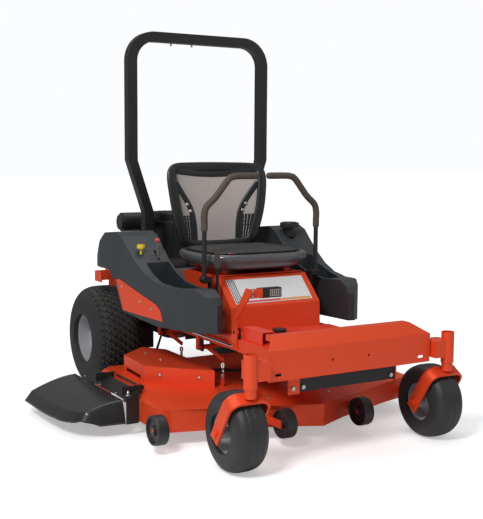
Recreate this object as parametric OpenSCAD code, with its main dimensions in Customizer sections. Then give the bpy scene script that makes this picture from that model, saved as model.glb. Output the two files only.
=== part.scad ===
// Zero turn mower whose side-discharge deck cuts 1.34 m wide.
// +X is the machine's left, +Y points to its rear, +Z is up and Z = 0 is the ground.
// Lengths are millimetres and angles are degrees.

/* [Stance] */
// Half the distance between the two caster pivots
caster_half = 508; // [480:1:620]
// Horizontal distance from the caster pivot back to its wheel axle
caster_trail = 106; // [90:1:125]
// Distance from the caster pivots back to the rear axle
wheelbase = 1674; // [1500:1:1980]
// Half the distance between the centres of the rear tyres
rear_track_half = 432; // [430:1:520]

/* [Front wheels] */
// Radius of a caster tyre
front_tyre_r = 165; // [140:1:172]
// Width of a caster tyre
front_tyre_w = 150; // [120:1:170]
// Radius of a caster rim
front_rim_r = 84; // [70:1:96]
// Side gap between a caster tyre and its fork
fork_gap = 10; // [6:1:16]
// Thickness of the fork strap
fork_t = 10; // [6:1:12]
// Width of the fork strap
fork_w = 60; // [45:1:70]
// Outer radius of a caster pivot tube
pivot_tube_r = 28.5; // [24:0.5:34]
// Radius of a caster stem
stem_r = 16; // [12:0.5:19]
// Height of the bottom of a pivot tube
pivot_low_z = 360; // [352:1:375]
// Height of the top of a pivot tube
pivot_top_z = 498; // [470:1:540]

/* [Rear wheels] */
// Radius of a rear tyre
rear_tyre_r = 278; // [240:1:290]
// Width of a rear tyre
rear_tyre_w = 250; // [200:1:262]
// Radius of a rear rim
rear_rim_r = 132; // [110:1:150]
// Radius of an axle shaft
axle_r = 17.5; // [14:0.5:22]

/* [Frame] */
// Outer side of the square frame tube
tube_w = 51; // [40:1:60]
// Wall of the frame tube
tube_wall = 4; // [2:0.5:6]
// Distance from the centreline to a frame rail's middle
rail_x = 268; // [240:1:272]
// Height of the top of the frame rails
rail_top_z = 451; // [445:1:470]
// Distance the rear guard stands behind the rear axle
guard_reach = 291; // [282:1:360]

/* [Front beam] */
// Half length of the beam cover at its crease
beam_half = 398; // [380:1:410]
// Height of the lower edge of the beam cover
beam_low_z = 370; // [360:1:385]
// Height of the crease of the beam cover
beam_crease_z = 495; // [480:1:520]
// Height of the rear edge of the beam cover
beam_top_z = 540; // [525:1:560]
// Sheet thickness of the beam cover
beam_t = 5; // [3:0.5:6]
// Distance between the two accessory holes
hole_pitch = 186; // [120:1:300]
// Radius of an accessory hole
hole_r = 5.5; // [3:0.5:8]

/* [Roll bar] */
// Half the outer width of the roll bar hoop
rops_half = 412; // [390:1:470]
// Outer side of the roll bar tube
rops_t = 50.8; // [45:0.1:55]
// Height of the top of the roll bar
rops_top_z = 1885; // [1700:1:1950]
// Distance from the caster pivots back to the roll bar's front face
rops_back = 1378; // [1370:1:1400]

/* [Operator station] */
// Half width of the console
console_half = 246; // [215:1:248]
// Height of the console's flat top
console_top_z = 695; // [680:1:700]
// Half width of the seat
seat_half = 285; // [240:1:290]
// Height of the top of the backrest
back_top_z = 1222; // [1150:1:1300]
// Radius of a control bar tube
lap_tube_r = 11; // [9:0.5:12]
// Radius of a control bar grip
lap_grip_r = 16; // [14:0.5:18]
// Distance from the centreline to a control bar
lap_x = 312; // [308:1:314]
// Height of the grips' crossways run
lap_top_z = 1168; // [1100:1:1220]

/* [Deck] */
// How far the deck is set to the machine's left
deck_shift = 45; // [20:1:60]
// Half the width of the deck shell
deck_half = 690; // [670:1:700]
// Height of the lower edge of the deck skirt
deck_low_z = 64; // [60:1:80]
// Height of the deck's top plate
deck_top_z = 181; // [175:1:190]
// Sheet thickness of the deck
deck_t = 4; // [3:0.5:6]
// Distance between neighbouring spindles across the machine
spindle_pitch = 442; // [430:1:446]
// Radius of the circle that a blade tip follows
blade_r = 228; // [200:1:232]
// Radius of an anti-scalp roller
roller_r = 65; // [50:1:68]
// Width of an anti-scalp roller
roller_w = 52; // [40:1:56]
// Distance from the deck's right side to the outer edge of the chute
chute_reach = 330; // [280:1:380]

/* [Hidden] */
$fn = 48;
shaft_gap = 0.05;          // radial clearance of a shaft in its bore
caster_y = 5;              // caster pivot line
front_axle_y = caster_y + caster_trail;
rear_axle_y = caster_y + wheelbase;
rops_y = caster_y + rops_back;
rail_low_z = rail_top_z - tube_w;
right_x = deck_shift - deck_half;
left_x = deck_shift + deck_half;
chute_x = right_x - chute_reach;
front_y = front_axle_y - front_tyre_r;
back_y = rear_axle_y + guard_reach;
mid_x = (chute_x + left_x) / 2;
mid_y = (front_y + back_y) / 2;

// Paint and material colours of the real machine
orange = [0.88, 0.2, 0.06];
black = [0.08, 0.08, 0.08];
charcoal = [0.2, 0.21, 0.22];
steel = [0.7, 0.7, 0.72];
rim_grey = [0.55, 0.56, 0.58];
rubber = [0.1, 0.1, 0.1];

// ---- helpers ----
module box(low, high) translate(low) cube(high - low);
module placed() translate([-mid_x, -mid_y, 0]) children();
// A left-hand copy of a piece drawn on the machine's right (-X) side
module sided(side) if (side < 0) children(); else mirror([1, 0, 0]) children();
module rod_x(x0, x1, y, z, r) translate([x0, y, z]) rotate([0, 90, 0]) cylinder(r = r, h = x1 - x0);
module rod_y(y0, y1, x, z, r) translate([x, y0, z]) rotate([-90, 0, 0]) cylinder(r = r, h = y1 - y0);
module rod_z(z0, z1, x, y, r) translate([x, y, z0]) cylinder(r = r, h = z1 - z0);
// Extrudes a (y, z) outline from x0 to x1
module side_extrude(x0, x1) translate([x0, 0, 0]) rotate([90, 0, 90]) linear_extrude(x1 - x0) children();
// Extrudes an (x, z) outline from y0 to y1
module front_extrude(y0, y1) translate([0, y1, 0]) rotate([90, 0, 0]) linear_extrude(y1 - y0) children();
// A round bar between two points, with a ball at each end
module bar(a, b, r, knuckle = 0) {
    d = b - a;
    len = norm(d);
    translate(a) rotate([0, acos(d[2] / len), atan2(d[1], d[0])]) cylinder(r = r, h = len);
    translate(a) sphere(r = r + knuckle);
    translate(b) sphere(r = r + knuckle);
}
module tube_y(y0, y1, x, z_low) difference() {
    box([x - tube_w / 2, y0, z_low], [x + tube_w / 2, y1, z_low + tube_w]);
    box([x - tube_w / 2 + tube_wall, y0 - 1, z_low + tube_wall],
        [x + tube_w / 2 - tube_wall, y1 + 1, z_low + tube_w - tube_wall]);
}

// ---- tyres and rims ----
// Half of a tyre's cross-section, from bead to bead, as (radius, offset) points
function tyre_outline(r_in, r_out, w, n) = [
    for (i = [0 : n]) let (a = 180 * i / n, c = cos(a), s = sin(a))
        [r_in + (r_out - r_in) * pow(s, 0.62), w / 2 * sign(c) * pow(abs(c), 0.62)]];
module tyre(r_in, r_out, w) rotate([0, 90, 0]) rotate_extrude($fn = 96)
    polygon(tyre_outline(r_in, r_out, w, 22));
module rim(r, w, bore_r, disc_x) rotate([0, 90, 0]) rotate_extrude($fn = 96) union() {
    translate([r - 8, -w / 2]) square([7.5, w]);
    translate([bore_r, disc_x - 4]) square([r - bore_r - 4, 8]);
    translate([bore_r, -w * 0.36]) square([22, w * 0.72]);
}

// ---- frame ----
module frame_rails() color(orange) placed() {
    for (side = [-1, 1])
        tube_y(rail_front_y, back_y - 40, side * rail_x, rail_low_z);
}
rail_front_y = 104;
cross_front_y = 42;
arm_tuck = 12;
module front_frame() color(orange) placed() {
    difference() {
        box([-cross_half, cross_front_y, rail_low_z], [cross_half, rail_front_y, rail_top_z]);
        box([-cross_half - 1, cross_front_y + tube_wall, rail_low_z + tube_wall],
            [cross_half + 1, rail_front_y - tube_wall, rail_top_z - tube_wall]);
    }
    for (side = [-1, 1]) difference() {
        union() {
            rod_z(pivot_low_z, pivot_top_z, side * caster_half, caster_y, pivot_tube_r);
            sided(side) box([-caster_half, caster_y - 18, rail_low_z - 12],
                [-cross_half, rail_front_y - 30, rail_top_z + 12]);
        }
        rod_z(pivot_low_z - 1, pivot_top_z + 1, side * caster_half, caster_y, stem_r + shaft_gap);
        rod_z(stem_top_z - 8, pivot_top_z + 1, side * caster_half, caster_y, pivot_tube_r - 4);
    }
    // Tabs that hold the cross bar's ends
    box([bar_right_x - 6, bar_front_y - 6, bar_low_z - 6], [bar_right_x, rail_front_y - 1, rail_low_z + 1]);
    box([bar_right_x - 56, bar_front_y - 6, bar_low_z - 6], [bar_right_x, bar_front_y, rail_low_z + 1]);
    box([bar_left_x, bar_front_y - 6, bar_low_z - 6], [bar_left_x + 6, rail_front_y - 1, rail_low_z + 1]);
}
bar_right_x = -227;
bar_left_x = 276;
bar_low_z = 296;
bar_top_z = 350;
bar_front_y = 84;
bar_back_y = 122;
module cross_bar() difference() {
    box([bar_right_x, bar_front_y, bar_low_z], [bar_left_x, bar_back_y, bar_top_z]);
    box([bar_right_x - 1, bar_front_y + 5, bar_low_z + 5], [bar_left_x + 1, bar_back_y + 1, bar_top_z - 5]);
}
cross_half = beam_half + 28;
stem_top_z = pivot_top_z - 46;

beam_front_y = 20;
beam_back_y = 90;
beam_flange = 46;
beam_end_taper = 40;
module beam_section(inset) polygon([
    [beam_front_y + inset, beam_low_z - 1],
    [beam_front_y + inset, beam_crease_z - inset * 0.3],
    [beam_back_y + inset * 0.3, beam_top_z - inset],
    [beam_back_y + beam_flange, beam_top_z - inset],
    [beam_back_y + beam_flange, beam_low_z - 1]]);
module beam_plan(inset) polygon([
    [-beam_half - 22 + inset, beam_front_y - 1], [beam_half + 22 - inset, beam_front_y - 1],
    [beam_half - inset, beam_front_y + 24], [beam_half - beam_end_taper - inset, beam_back_y],
    [beam_half - beam_end_taper - inset, beam_back_y + 60],
    [-beam_half + beam_end_taper + inset, beam_back_y + 60],
    [-beam_half + beam_end_taper + inset, beam_back_y], [-beam_half + inset, beam_front_y + 24]]);
module front_beam() color(orange) placed() difference() {
    intersection() {
        side_extrude(-beam_half - 30, beam_half + 30) beam_section(0);
        translate([0, 0, beam_low_z]) linear_extrude(beam_top_z) beam_plan(0);
    }
    intersection() {
        side_extrude(-beam_half - 31, beam_half + 31) beam_section(beam_t);
        translate([0, 0, beam_low_z - 2]) linear_extrude(beam_top_z) beam_plan(beam_t);
    }
    for (side = [-1, 1])
        box([side * (beam_half + 20) - 70, cross_front_y - 16, rail_low_z - 20],
            [side * (beam_half + 20) + 70, rail_front_y + 40, rail_top_z + 20]);
    box([-beam_half, rail_front_y - 2, beam_low_z - 2], [beam_half, rail_front_y + 80, beam_top_z - 24]);
    for (side = [-1, 1]) {
        rod_y(0, 60, side * hole_pitch / 2 - 9, 432, hole_r);
        for (dx = [-10, 10])
            rod_y(0, 60, side * slot_x + dx, beam_low_z + 26, slot_r);
        box([side * slot_x - 10, 0, beam_low_z + 26 - slot_r],
            [side * slot_x + 10, 40, beam_low_z + 26 + slot_r]);
    }
}
slot_x = 368;
slot_r = 6;

plate_t = 8;
plate_front_y = rear_axle_y - 190;
crank_y = rear_axle_y + 20;
module engine_plate() color(charcoal) placed() difference() {
    box([-rail_x - tube_w / 2, plate_front_y, rail_top_z],
        [rail_x + tube_w / 2, rear_axle_y + 200, rail_top_z + plate_t]);
    rod_z(rail_top_z - 1, rail_top_z + plate_t + 1, 0, crank_y, 46);
}

guard_low_z = 598;
guard_top_z = 652;
guard_half = 515;
guard_in = 304;
wing_end_y = 1594;
guard_t = 6;
hitch_r = 9.5;
hitch_t = 8;
module rear_guard() color(orange) placed() difference() {
    union() {
        for (side = [-1, 1]) sided(side) {
            box([-guard_half, rops_y + 130, guard_low_z], [-guard_half + guard_t, wing_end_y, guard_top_z]);
            box([-guard_half, wing_end_y, guard_low_z], [-guard_in + guard_t, wing_end_y + guard_t,
                guard_top_z]);
            box([-guard_in, wing_end_y, guard_low_z], [-guard_in + guard_t, back_y, guard_top_z]);
            box([-rail_x - 30, back_y - 40, rail_low_z - 60], [-rail_x + 30, back_y - 34, guard_top_z]);
            box([-rail_x - 30, back_y - 34, guard_low_z], [-rail_x + 30, back_y - guard_t,
                guard_low_z + 8]);
        }
        box([-guard_in, back_y - guard_t, guard_low_z], [guard_in, back_y, guard_top_z]);
        box([-rail_x - 30, back_y - 40, rail_low_z - 60], [rail_x + 30, back_y - 34, rail_low_z - 2]);
        box([-45, back_y - 34, rail_low_z - 50], [45, back_y - 2, rail_low_z - 50 + hitch_t]);
    }
    rod_z(rail_low_z - 60, rail_low_z - 30, 0, back_y - 20, hitch_r);
}

floor_front_y = beam_back_y + beam_flange + 1;
console_front_y = 612;
module floor_pan() color(orange) placed() {
    box([-rail_x - tube_w / 2, floor_front_y, rail_top_z],
        [rail_x + tube_w / 2, console_front_y - 1, rail_top_z + 4]);
    box([-rail_x - tube_w / 2, floor_front_y, rail_top_z + 4],
        [rail_x + tube_w / 2, floor_front_y + 4, beam_top_z - 2]);
    difference() {
        box([selector_x, selector_y, rail_top_z + 3], [selector_x + 62, selector_y + 160, rail_top_z + 62]);
        box([selector_x + 4, selector_y - 1, rail_top_z + 8], [selector_x + 58, selector_y + 161,
            rail_top_z + 58]);
    }
}
// Open tube on the floor beside the pedal
selector_x = -276;
selector_y = 296;
knob_floor_x = -122;
knob_floor_y = 400;
module floor_knob() union() {
    rod_z(rail_top_z + 4, rail_top_z + 34, knob_floor_x, knob_floor_y, 10);
    rod_z(rail_top_z + 33, rail_top_z + 50, knob_floor_x, knob_floor_y, 32);
}
member_y = 1080;
module cross_member() box([-rail_x + tube_w / 2, member_y, rail_low_z - 55], [rail_x - tube_w / 2,
    member_y + 6, rail_top_z]);

// ---- console and seat support ----
console_crease_y = 620;
console_crease_z = 570;
console_back_y = 748;
console_end_y = 1090;
console_t = 3;
module console_section(inset) polygon([
    [console_front_y + inset, rail_top_z + (inset > 0 ? -1 : 0)],
    [console_crease_y + inset, console_crease_z - inset * 0.4],
    [console_back_y + inset * 0.4, console_top_z - inset],
    [console_end_y + (inset > 0 ? 1 : 0), console_top_z - inset],
    [console_end_y + (inset > 0 ? 1 : 0), rail_top_z + (inset > 0 ? -1 : 0)]]);
module console() color(orange) placed() difference() {
    side_extrude(-console_half, console_half) console_section(0);
    side_extrude(-console_half + console_t, console_half - console_t) console_section(console_t);
}
// ---- roll bar ----
rops_bend_z = 1234;
rops_knee_z = 967;
rops_foot_x = 297;
rops_corner_r = 150;
rops_foot_z = rail_top_z + 60;
module rops_outline(off) {
    half = rops_half - off;
    foot = rops_foot_x + rops_t / 2 - off;
    corner = rops_corner_r - off;
    top = rops_top_z - off;
    difference() {
        union() {
            for (side = [-1, 1]) translate([side * (half - corner), top - corner]) circle(r = corner,
                $fn = 64);
            translate([-half + corner, rops_bend_z]) square([2 * (half - corner), top - rops_bend_z]);
            translate([-half, rops_bend_z]) square([2 * half, top - corner - rops_bend_z]);
            polygon([[-half, rops_bend_z + 1], [half, rops_bend_z + 1], [half, rops_bend_z],
                [foot, rops_knee_z], [foot, rops_foot_z - off], [-foot, rops_foot_z - off],
                [-foot, rops_knee_z], [-half, rops_bend_z]]);
        }
    }
}
module rops() color(black) placed() difference() {
    front_extrude(rops_y, rops_y + rops_t) difference() {
        rops_outline(0);
        rops_outline(rops_t);
    }
    for (side = [-1, 1]) for (z = [30, 80])
        rod_x(side * rops_foot_x - 40, side * rops_foot_x + 40, rops_y + rops_t / 2, rops_foot_z + z,
            bolt_r);
}
bolt_r = 6;
module hex_bolt_x(x0, x1, y, z) {
    rod_x(x0, x1, y, z, bolt_r - shaft_gap);
    translate([x0 - 7, y, z]) rotate([0, 90, 0]) cylinder(r = 11, h = 7, $fn = 6);
    translate([x1, y, z]) rotate([0, 90, 0]) cylinder(r = 11, h = 9, $fn = 6);
}
bracket_t = 6;
module chassis_bolts() color(steel) placed() {
    for (side = [-1, 1]) for (z = [30, 80])
        hex_bolt_x(side * rops_foot_x - rops_t / 2 - bracket_t, side * rops_foot_x + rops_t / 2 + bracket_t,
            rops_y + rops_t / 2, rops_foot_z + z);
    for (b = [[bar_right_x - 34, bar_front_y - 6], [bar_right_x + 20, bar_front_y], [bar_left_x - 22,
        bar_front_y]])
        translate([b[0], b[1], bar_low_z + 20]) rotate([90, 0, 0]) cylinder(r = 10, h = 7, $fn = 6);
    for (dx = [-60, 60])
        rod_z(rops_top_z - rops_t - 14, rops_top_z - rops_t, dx - 100, rops_y + rops_t / 2, 5);
}

// ---- brackets and cross pieces bolted to the chassis ----
lap_pivot_y = 755;
lap_pivot_z = 560;
pedal_y = 490;
pedal_z = 486;
brake_x = -272;
brake_y = 685;
brake_z = 560;
pin_r = 8;
module chassis_brackets() color(charcoal) placed() {
    for (side = [-1, 1]) sided(side) {
        difference() {
            union() {
                box([-rops_foot_x - rops_t / 2 - bracket_t, rops_y, rail_top_z],
                    [-rops_foot_x - rops_t / 2, rops_y + rops_t, rops_foot_z + 110]);
                box([-rops_foot_x + rops_t / 2, rops_y, rail_top_z],
                    [-rops_foot_x + rops_t / 2 + bracket_t, rops_y + rops_t, rops_foot_z + 110]);
                box([-rops_foot_x - rops_t / 2, rops_y, rail_top_z],
                    [-rops_foot_x + rops_t / 2, rops_y + rops_t, rops_foot_z]);
            }
            for (z = [30, 80])
                rod_x(-rops_foot_x - 60, -rops_foot_x + 60, rops_y + rops_t / 2, rops_foot_z + z, bolt_r);
        }
        box([-console_half - 14, lap_pivot_y - 30, rail_top_z],
            [-console_half - 6, lap_pivot_y + 30, lap_pivot_z + 30]);
        rod_x(-lap_x + 22, -console_half - 14, lap_pivot_y, lap_pivot_z, pin_r);
    }
    box([-rail_x - 21, pedal_y - 22, rail_top_z + 4.5], [-rail_x - 13, pedal_y + 22, pedal_z + 20]);
    rod_x(-rail_x - 37, -rail_x - 21, pedal_y, pedal_z, pin_r);
    lift_hangers();
    cross_bar();
    floor_knob();
    cross_member();
    box([brake_x - 4, brake_y - 24, rail_top_z], [brake_x + 4, brake_y + 24, brake_z + 16]);
    rod_x(brake_x - 14, brake_x - 4, brake_y, brake_z, pin_r);
}

// ---- fenders ----
// Moves a clockwise outline inwards by d
function inset(p, d) = [for (i = [0 : len(p) - 1]) let (
    a = p[(i + len(p) - 1) % len(p)], b = p[i], c = p[(i + 1) % len(p)],
    u = (b - a) / norm(b - a), v = (c - b) / norm(c - b),
    m = [u[1], -u[0]] + [v[1], -v[0]]) b + m * d / (1 + u * v)];
fender_t = 4;
fender_in_x = -345;
fender_plan = [[fender_in_x, 520], [-375, 512], [-420, 546], [-466, 640], [-500, 800], [-530, 1050],
    [-548, 1280], [-554, 1430], [-545, 1490], [-500, 1522], [fender_in_x, 1522]];
fender_side = [[505, 590], [535, 640], [590, 668], [740, 660], [860, 672], [960, 705], [1040, 750],
    [1120, 808], [1190, 866],
    [1250, 884], [1370, 872], [1440, 820], [1500, 730], [1530, 690], [1330, 690], [1262, 645],
    [1215, 560], [1175, 500], [860, 470], [505, 480]];
pocket_floor_z = 590;
pocket = [[-352, 680], [-420, 690], [-455, 760], [-480, 880], [-480, 1040], [-352, 1040]];
module fender_skin(d) intersection() {
    linear_extrude(1000) polygon(inset(fender_plan, d));
    side_extrude(-600, -300) polygon(inset(fender_side, d));
}
module fender() difference() {
    union() {
        difference() {
            fender_skin(0);
            fender_skin(fender_t);
            translate([0, 0, -fender_t * 2]) fender_skin(fender_t);
        }
        translate([0, 0, pocket_floor_z]) intersection() {
            linear_extrude(400) polygon(pocket);
            translate([0, 0, -pocket_floor_z]) fender_skin(fender_t / 2);
        }
    }
    translate([0, 0, pocket_floor_z + fender_t]) linear_extrude(400) polygon(inset(pocket, fender_t));
}
module fender_right() color(charcoal) placed() difference() {
    fender();
    rod_z(700, 950, knob_x, knob_y, knob_r + 0.5);
    box([throttle_x - 5, throttle_y - 28, 700], [throttle_x + 5, throttle_y + 34, 1000]);
}
module fender_left() color(charcoal) placed() difference() {
    sided(1) fender();
    rod_z(700, 950, cap_x, cap_y, cap_neck_r + 0.5);
}
badge_side = [[1240, 648], [1205, 655], [860, 572], [822, 546], [806, 500], [1168, 506]];
module badge_panels() color(orange) placed() for (side = [-1, 1]) sided(side) difference() {
    intersection() {
        linear_extrude(1000) polygon(inset(fender_plan, -2.5));
        side_extrude(-600, -400) polygon(badge_side);
    }
    linear_extrude(1001) polygon(inset(fender_plan, -0.3));
}

// ---- engine and drive ----
case_low_z = rail_top_z + plate_t;
module engine_block() color(steel) placed() difference() {
    union() {
        box([-120, crank_y - 130, case_low_z], [120, crank_y + 110, 640]);
        for (side = [-1, 1]) sided(side) for (i = [0 : 6])
            box([-235, crank_y - 125, 540 + i * 22], [-119, crank_y + 40, 551 + i * 22]);
        for (side = [-1, 1]) sided(side) box([-225, crank_y - 110, 541], [-119, crank_y + 25, 682]);
        rod_z(640, 700, 0, crank_y, 90);
    }
    rod_z(case_low_z - 1, 560, 0, crank_y, crank_r + shaft_gap);
}
crank_r = 14;
pulley_r = 65;
pulley_low_z = 236;
module engine_shaft() color(steel) placed() {
    rod_z(pulley_low_z - 14, 555, 0, crank_y, crank_r);
    difference() {
        rod_z(pulley_low_z, pulley_low_z + 60, 0, crank_y, pulley_r);
        rod_z(pulley_low_z - 1, pulley_low_z + 61, 0, crank_y, crank_r);
    }
}
shroud_r = 185;
module engine_shroud() color(black) placed() union() {
    rod_z(700.5, 900, 0, crank_y, shroud_r);
    rod_z(900, 940, 0, crank_y, shroud_r - 35);
    for (a = [0 : 15 : 345]) translate([0, crank_y, 720]) rotate([0, 0, a])
        translate([shroud_r - 4, -4, 0]) cube([8, 8, 170]);
}
intake_x = -shroud_r - 40;
intake_y = crank_y - 9;
intake_z = 875;
intake_r = 20;
module air_cleaner() color(black) placed() union() {
    rod_x(-372, -shroud_r - 8, 1575, 905, 50);
    rod_x(-384, -371, 1575, 905, 40);
    rod_y(1575, intake_y + intake_r, intake_x, intake_z, intake_r);
    rod_x(intake_x, -shroud_r - 4.5, intake_y, intake_z, intake_r - 1);
}
module muffler() color(steel) placed() {
    rod_x(-190, 190, back_y - 95, 560, 52);
    rod_y(back_y - 60, back_y - 42, 120, 540, 16);
}
case_x = 170;
case_out_x = 290;
pump_low_z = 322;
module transaxles() color(charcoal) placed() for (side = [-1, 1]) sided(side) difference() {
    union() {
        box([-case_out_x, rear_axle_y - 70, rear_tyre_r - 73], [-case_x, rear_axle_y + 70,
            rear_tyre_r + 82]);
        box([-rail_x - 22, rear_axle_y - 40, rear_tyre_r + 81], [-rail_x + 22, rear_axle_y + 40,
            rail_low_z]);
        box([-236, rear_axle_y - 350, pump_low_z], [-24, rear_axle_y - 120, rail_low_z + 40]);
        box([-236, rear_axle_y - 130, pump_low_z], [-176, rear_axle_y - 60, rear_tyre_r + 80]);
    }
    rod_x(-case_out_x - 1, -case_x - 20, rear_axle_y, rear_tyre_r, axle_r + shaft_gap);
}

// ---- rear wheels ----
lug_circle = 58;
module rear_tyre(side) color(rubber) placed()
    translate([side * rear_track_half, rear_axle_y, rear_tyre_r])
        tyre(rear_rim_r, rear_tyre_r, rear_tyre_w);
module rear_rim(side) color(rim_grey) placed() {
    translate([side * rear_track_half, rear_axle_y, rear_tyre_r]) {
        rim(rear_rim_r, rear_tyre_w * 0.8, axle_r, side * 26);
        for (a = [0 : 72 : 288]) rotate([a, 0, 0]) translate([side * 30 + (side < 0 ? -10 : 0), 0,
            lug_circle])
            rotate([0, 90, 0]) cylinder(r = 10, h = 10, $fn = 6);
    }
    sided(side) rod_x(-rear_track_half - 40, -case_x - 25, rear_axle_y, rear_tyre_r, axle_r);
}
module rear_tyre_right() rear_tyre(-1);
module rear_tyre_left() rear_tyre(1);
module rear_rim_right() rear_rim(-1);
module rear_rim_left() rear_rim(1);

// ---- casters ----
fork_tilt = 32;
fork_inner = front_tyre_w / 2 + fork_gap;
fork_outer = fork_inner + fork_t;
crown_in = front_tyre_r + 12;
crown_out = crown_in + fork_t;
caster_bolt_r = 9.5;
module arch(half, top, low, corner) union() {
    translate([-half, low]) square([2 * half, top - corner - low]);
    translate([-half + corner, low]) square([2 * (half - corner), top - low]);
    for (side = [-1, 1]) translate([side * (half - corner), top - corner]) circle(r = corner);
}
module caster_fork(side) color(orange) placed() translate([side * caster_half, 0, 0]) {
    difference() {
        union() {
            translate([0, front_axle_y, front_tyre_r]) rotate([fork_tilt, 0, 0])
                front_extrude(-fork_w / 2, fork_w / 2) difference() {
                    arch(fork_outer, crown_out, -36, 50);
                    arch(fork_inner, crown_in, -40, 40);
                }
            rod_z(crown_stem_z, pivot_low_z - 1.5, 0, caster_y, pivot_tube_r - 4);
            rod_z(pivot_low_z - 2, stem_top_z, 0, caster_y, stem_r);
        }
        rod_x(-fork_outer - 1, fork_outer + 1, front_axle_y, front_tyre_r, caster_bolt_r + shaft_gap);
    }
    rod_x(-fork_outer - 3, fork_outer + 3, front_axle_y, front_tyre_r, caster_bolt_r);
    for (s = [-1, 1]) translate([s * (fork_outer + 6) - 6, front_axle_y, front_tyre_r])
        rotate([0, 90, 0]) cylinder(r = 15, h = 12, $fn = 6);
}
crown_stem_z = front_tyre_r + (crown_in + 0.5) * cos(fork_tilt) + 8;
module caster_tyre(side) color(rubber) placed() translate([side * caster_half, front_axle_y, front_tyre_r])
    tyre(front_rim_r, front_tyre_r, front_tyre_w);
module caster_rim(side) color(rim_grey) placed() translate([side * caster_half, front_axle_y, front_tyre_r])
    union() {
        rim(front_rim_r, front_tyre_w * 0.76, caster_bolt_r + shaft_gap, 0);
        rotate([0, 90, 0]) rotate_extrude() translate([caster_bolt_r + shaft_gap, -fork_inner + 1])
            square([14, 2 * fork_inner - 2]);
    }
module caster_fork_right() caster_fork(-1);
module caster_fork_left() caster_fork(1);
module caster_tyre_right() caster_tyre(-1);
module caster_tyre_left() caster_tyre(1);
module caster_rim_right() caster_rim(-1);
module caster_rim_left() caster_rim(1);

// ---- control bars ----
lap_hinge_z = 690;
lap_corner_z = 1012;
lap_bend_x = 155;
lap_end_x = 25;
lap_knuckle = 1;
module lap_lever() color(charcoal) placed() difference() {
    union() {
        rod_x(-lap_x + 26, -console_half - 16, lap_pivot_y, lap_pivot_z, 20);
        box([-lap_x + 26, lap_pivot_y - 14, lap_pivot_z], [-lap_x + 34, lap_pivot_y + 14,
            lap_hinge_z + 10]);
        for (dy = [-20, 13.5])
            box([-lap_x - 11, lap_pivot_y + dy, lap_hinge_z - 11],
                [-lap_x + 34, lap_pivot_y + dy + 6.5, lap_hinge_z + 11]);
        rod_y(lap_pivot_y - 20, lap_pivot_y + 20, -lap_x, lap_hinge_z, pin_r);
    }
    rod_x(-lap_x + 20, -console_half, lap_pivot_y, lap_pivot_z, pin_r + shaft_gap);
}
module lap_bar() placed() {
    color(black) difference() {
        union() {
            rod_y(lap_pivot_y - 13, lap_pivot_y + 13, -lap_x, lap_hinge_z, 18);
            rod_z(lap_hinge_z, lap_grip_z, -lap_x, lap_pivot_y, lap_tube_r);
        }
        rod_y(lap_pivot_y - 14, lap_pivot_y + 14, -lap_x, lap_hinge_z, pin_r + shaft_gap);
    }
    color([0.3, 0.25, 0.2]) {
        rod_z(lap_grip_z, lap_corner_z, -lap_x, lap_pivot_y, lap_grip_r);
        bar([-lap_x, lap_pivot_y, lap_corner_z], [-lap_bend_x, lap_pivot_y, lap_top_z], lap_grip_r,
            lap_knuckle);
        rod_x(-lap_bend_x, -lap_end_x, lap_pivot_y, lap_top_z, lap_grip_r);
    }
}
lap_grip_z = 912;
module lap_lever_right() lap_lever_side(-1);
module lap_lever_left() lap_lever_side(1);
module lap_lever_side(side) translate([-mid_x, 0, 0]) sided(side) translate([mid_x, 0, 0]) lap_lever();
module lap_bar_side(side) translate([-mid_x, 0, 0]) sided(side) translate([mid_x, 0, 0]) lap_bar();
module lap_bar_right() lap_bar_side(-1);
module lap_bar_left() lap_bar_side(1);
module brake_lever() placed() {
    color(black) difference() {
        union() {
            rod_x(brake_x - 13, brake_x - 5, brake_y, brake_z, 18);
            box([brake_x - 13, brake_y - 8, brake_z], [brake_x - 5, brake_y + 8, brake_z + 190]);
        }
        rod_x(brake_x - 14, brake_x - 4, brake_y, brake_z, pin_r + shaft_gap);
    }
    color([0.3, 0.25, 0.2]) box([brake_x - 17, brake_y - 11, brake_z + 190], [brake_x - 1, brake_y + 11,
        brake_z + 280]);
}
throttle_x = -400;
throttle_y = 1075;
throttle_z = 700;
module throttle_lever() color(steel) placed() {
    box([throttle_x - 2, throttle_y - 5, throttle_z], [throttle_x + 2, throttle_y + 5, 850]);
    rod_x(throttle_x - 4, throttle_x + 4, throttle_y, throttle_z, 9);
    rod_x(throttle_x - 9, throttle_x + 9, throttle_y, 850, 9);
}
knob_x = -478;
knob_y = 1092;
knob_r = 6;
knob_z = 812;
module pto_knob() color([0.85, 0.75, 0.1]) placed() {
    rod_z(knob_z - 60, knob_z, knob_x, knob_y, knob_r);
    rod_z(knob_z, knob_z + 20, knob_x, knob_y, 19);
}
cap_x = 425;
cap_y = 1165;
cap_r = 50;
cap_neck_r = 28;
module fuel_cap() color(black) placed() {
    rod_z(830, 880, cap_x, cap_y, cap_neck_r);
    rod_z(880, 905, cap_x, cap_y, cap_r);
}

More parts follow.
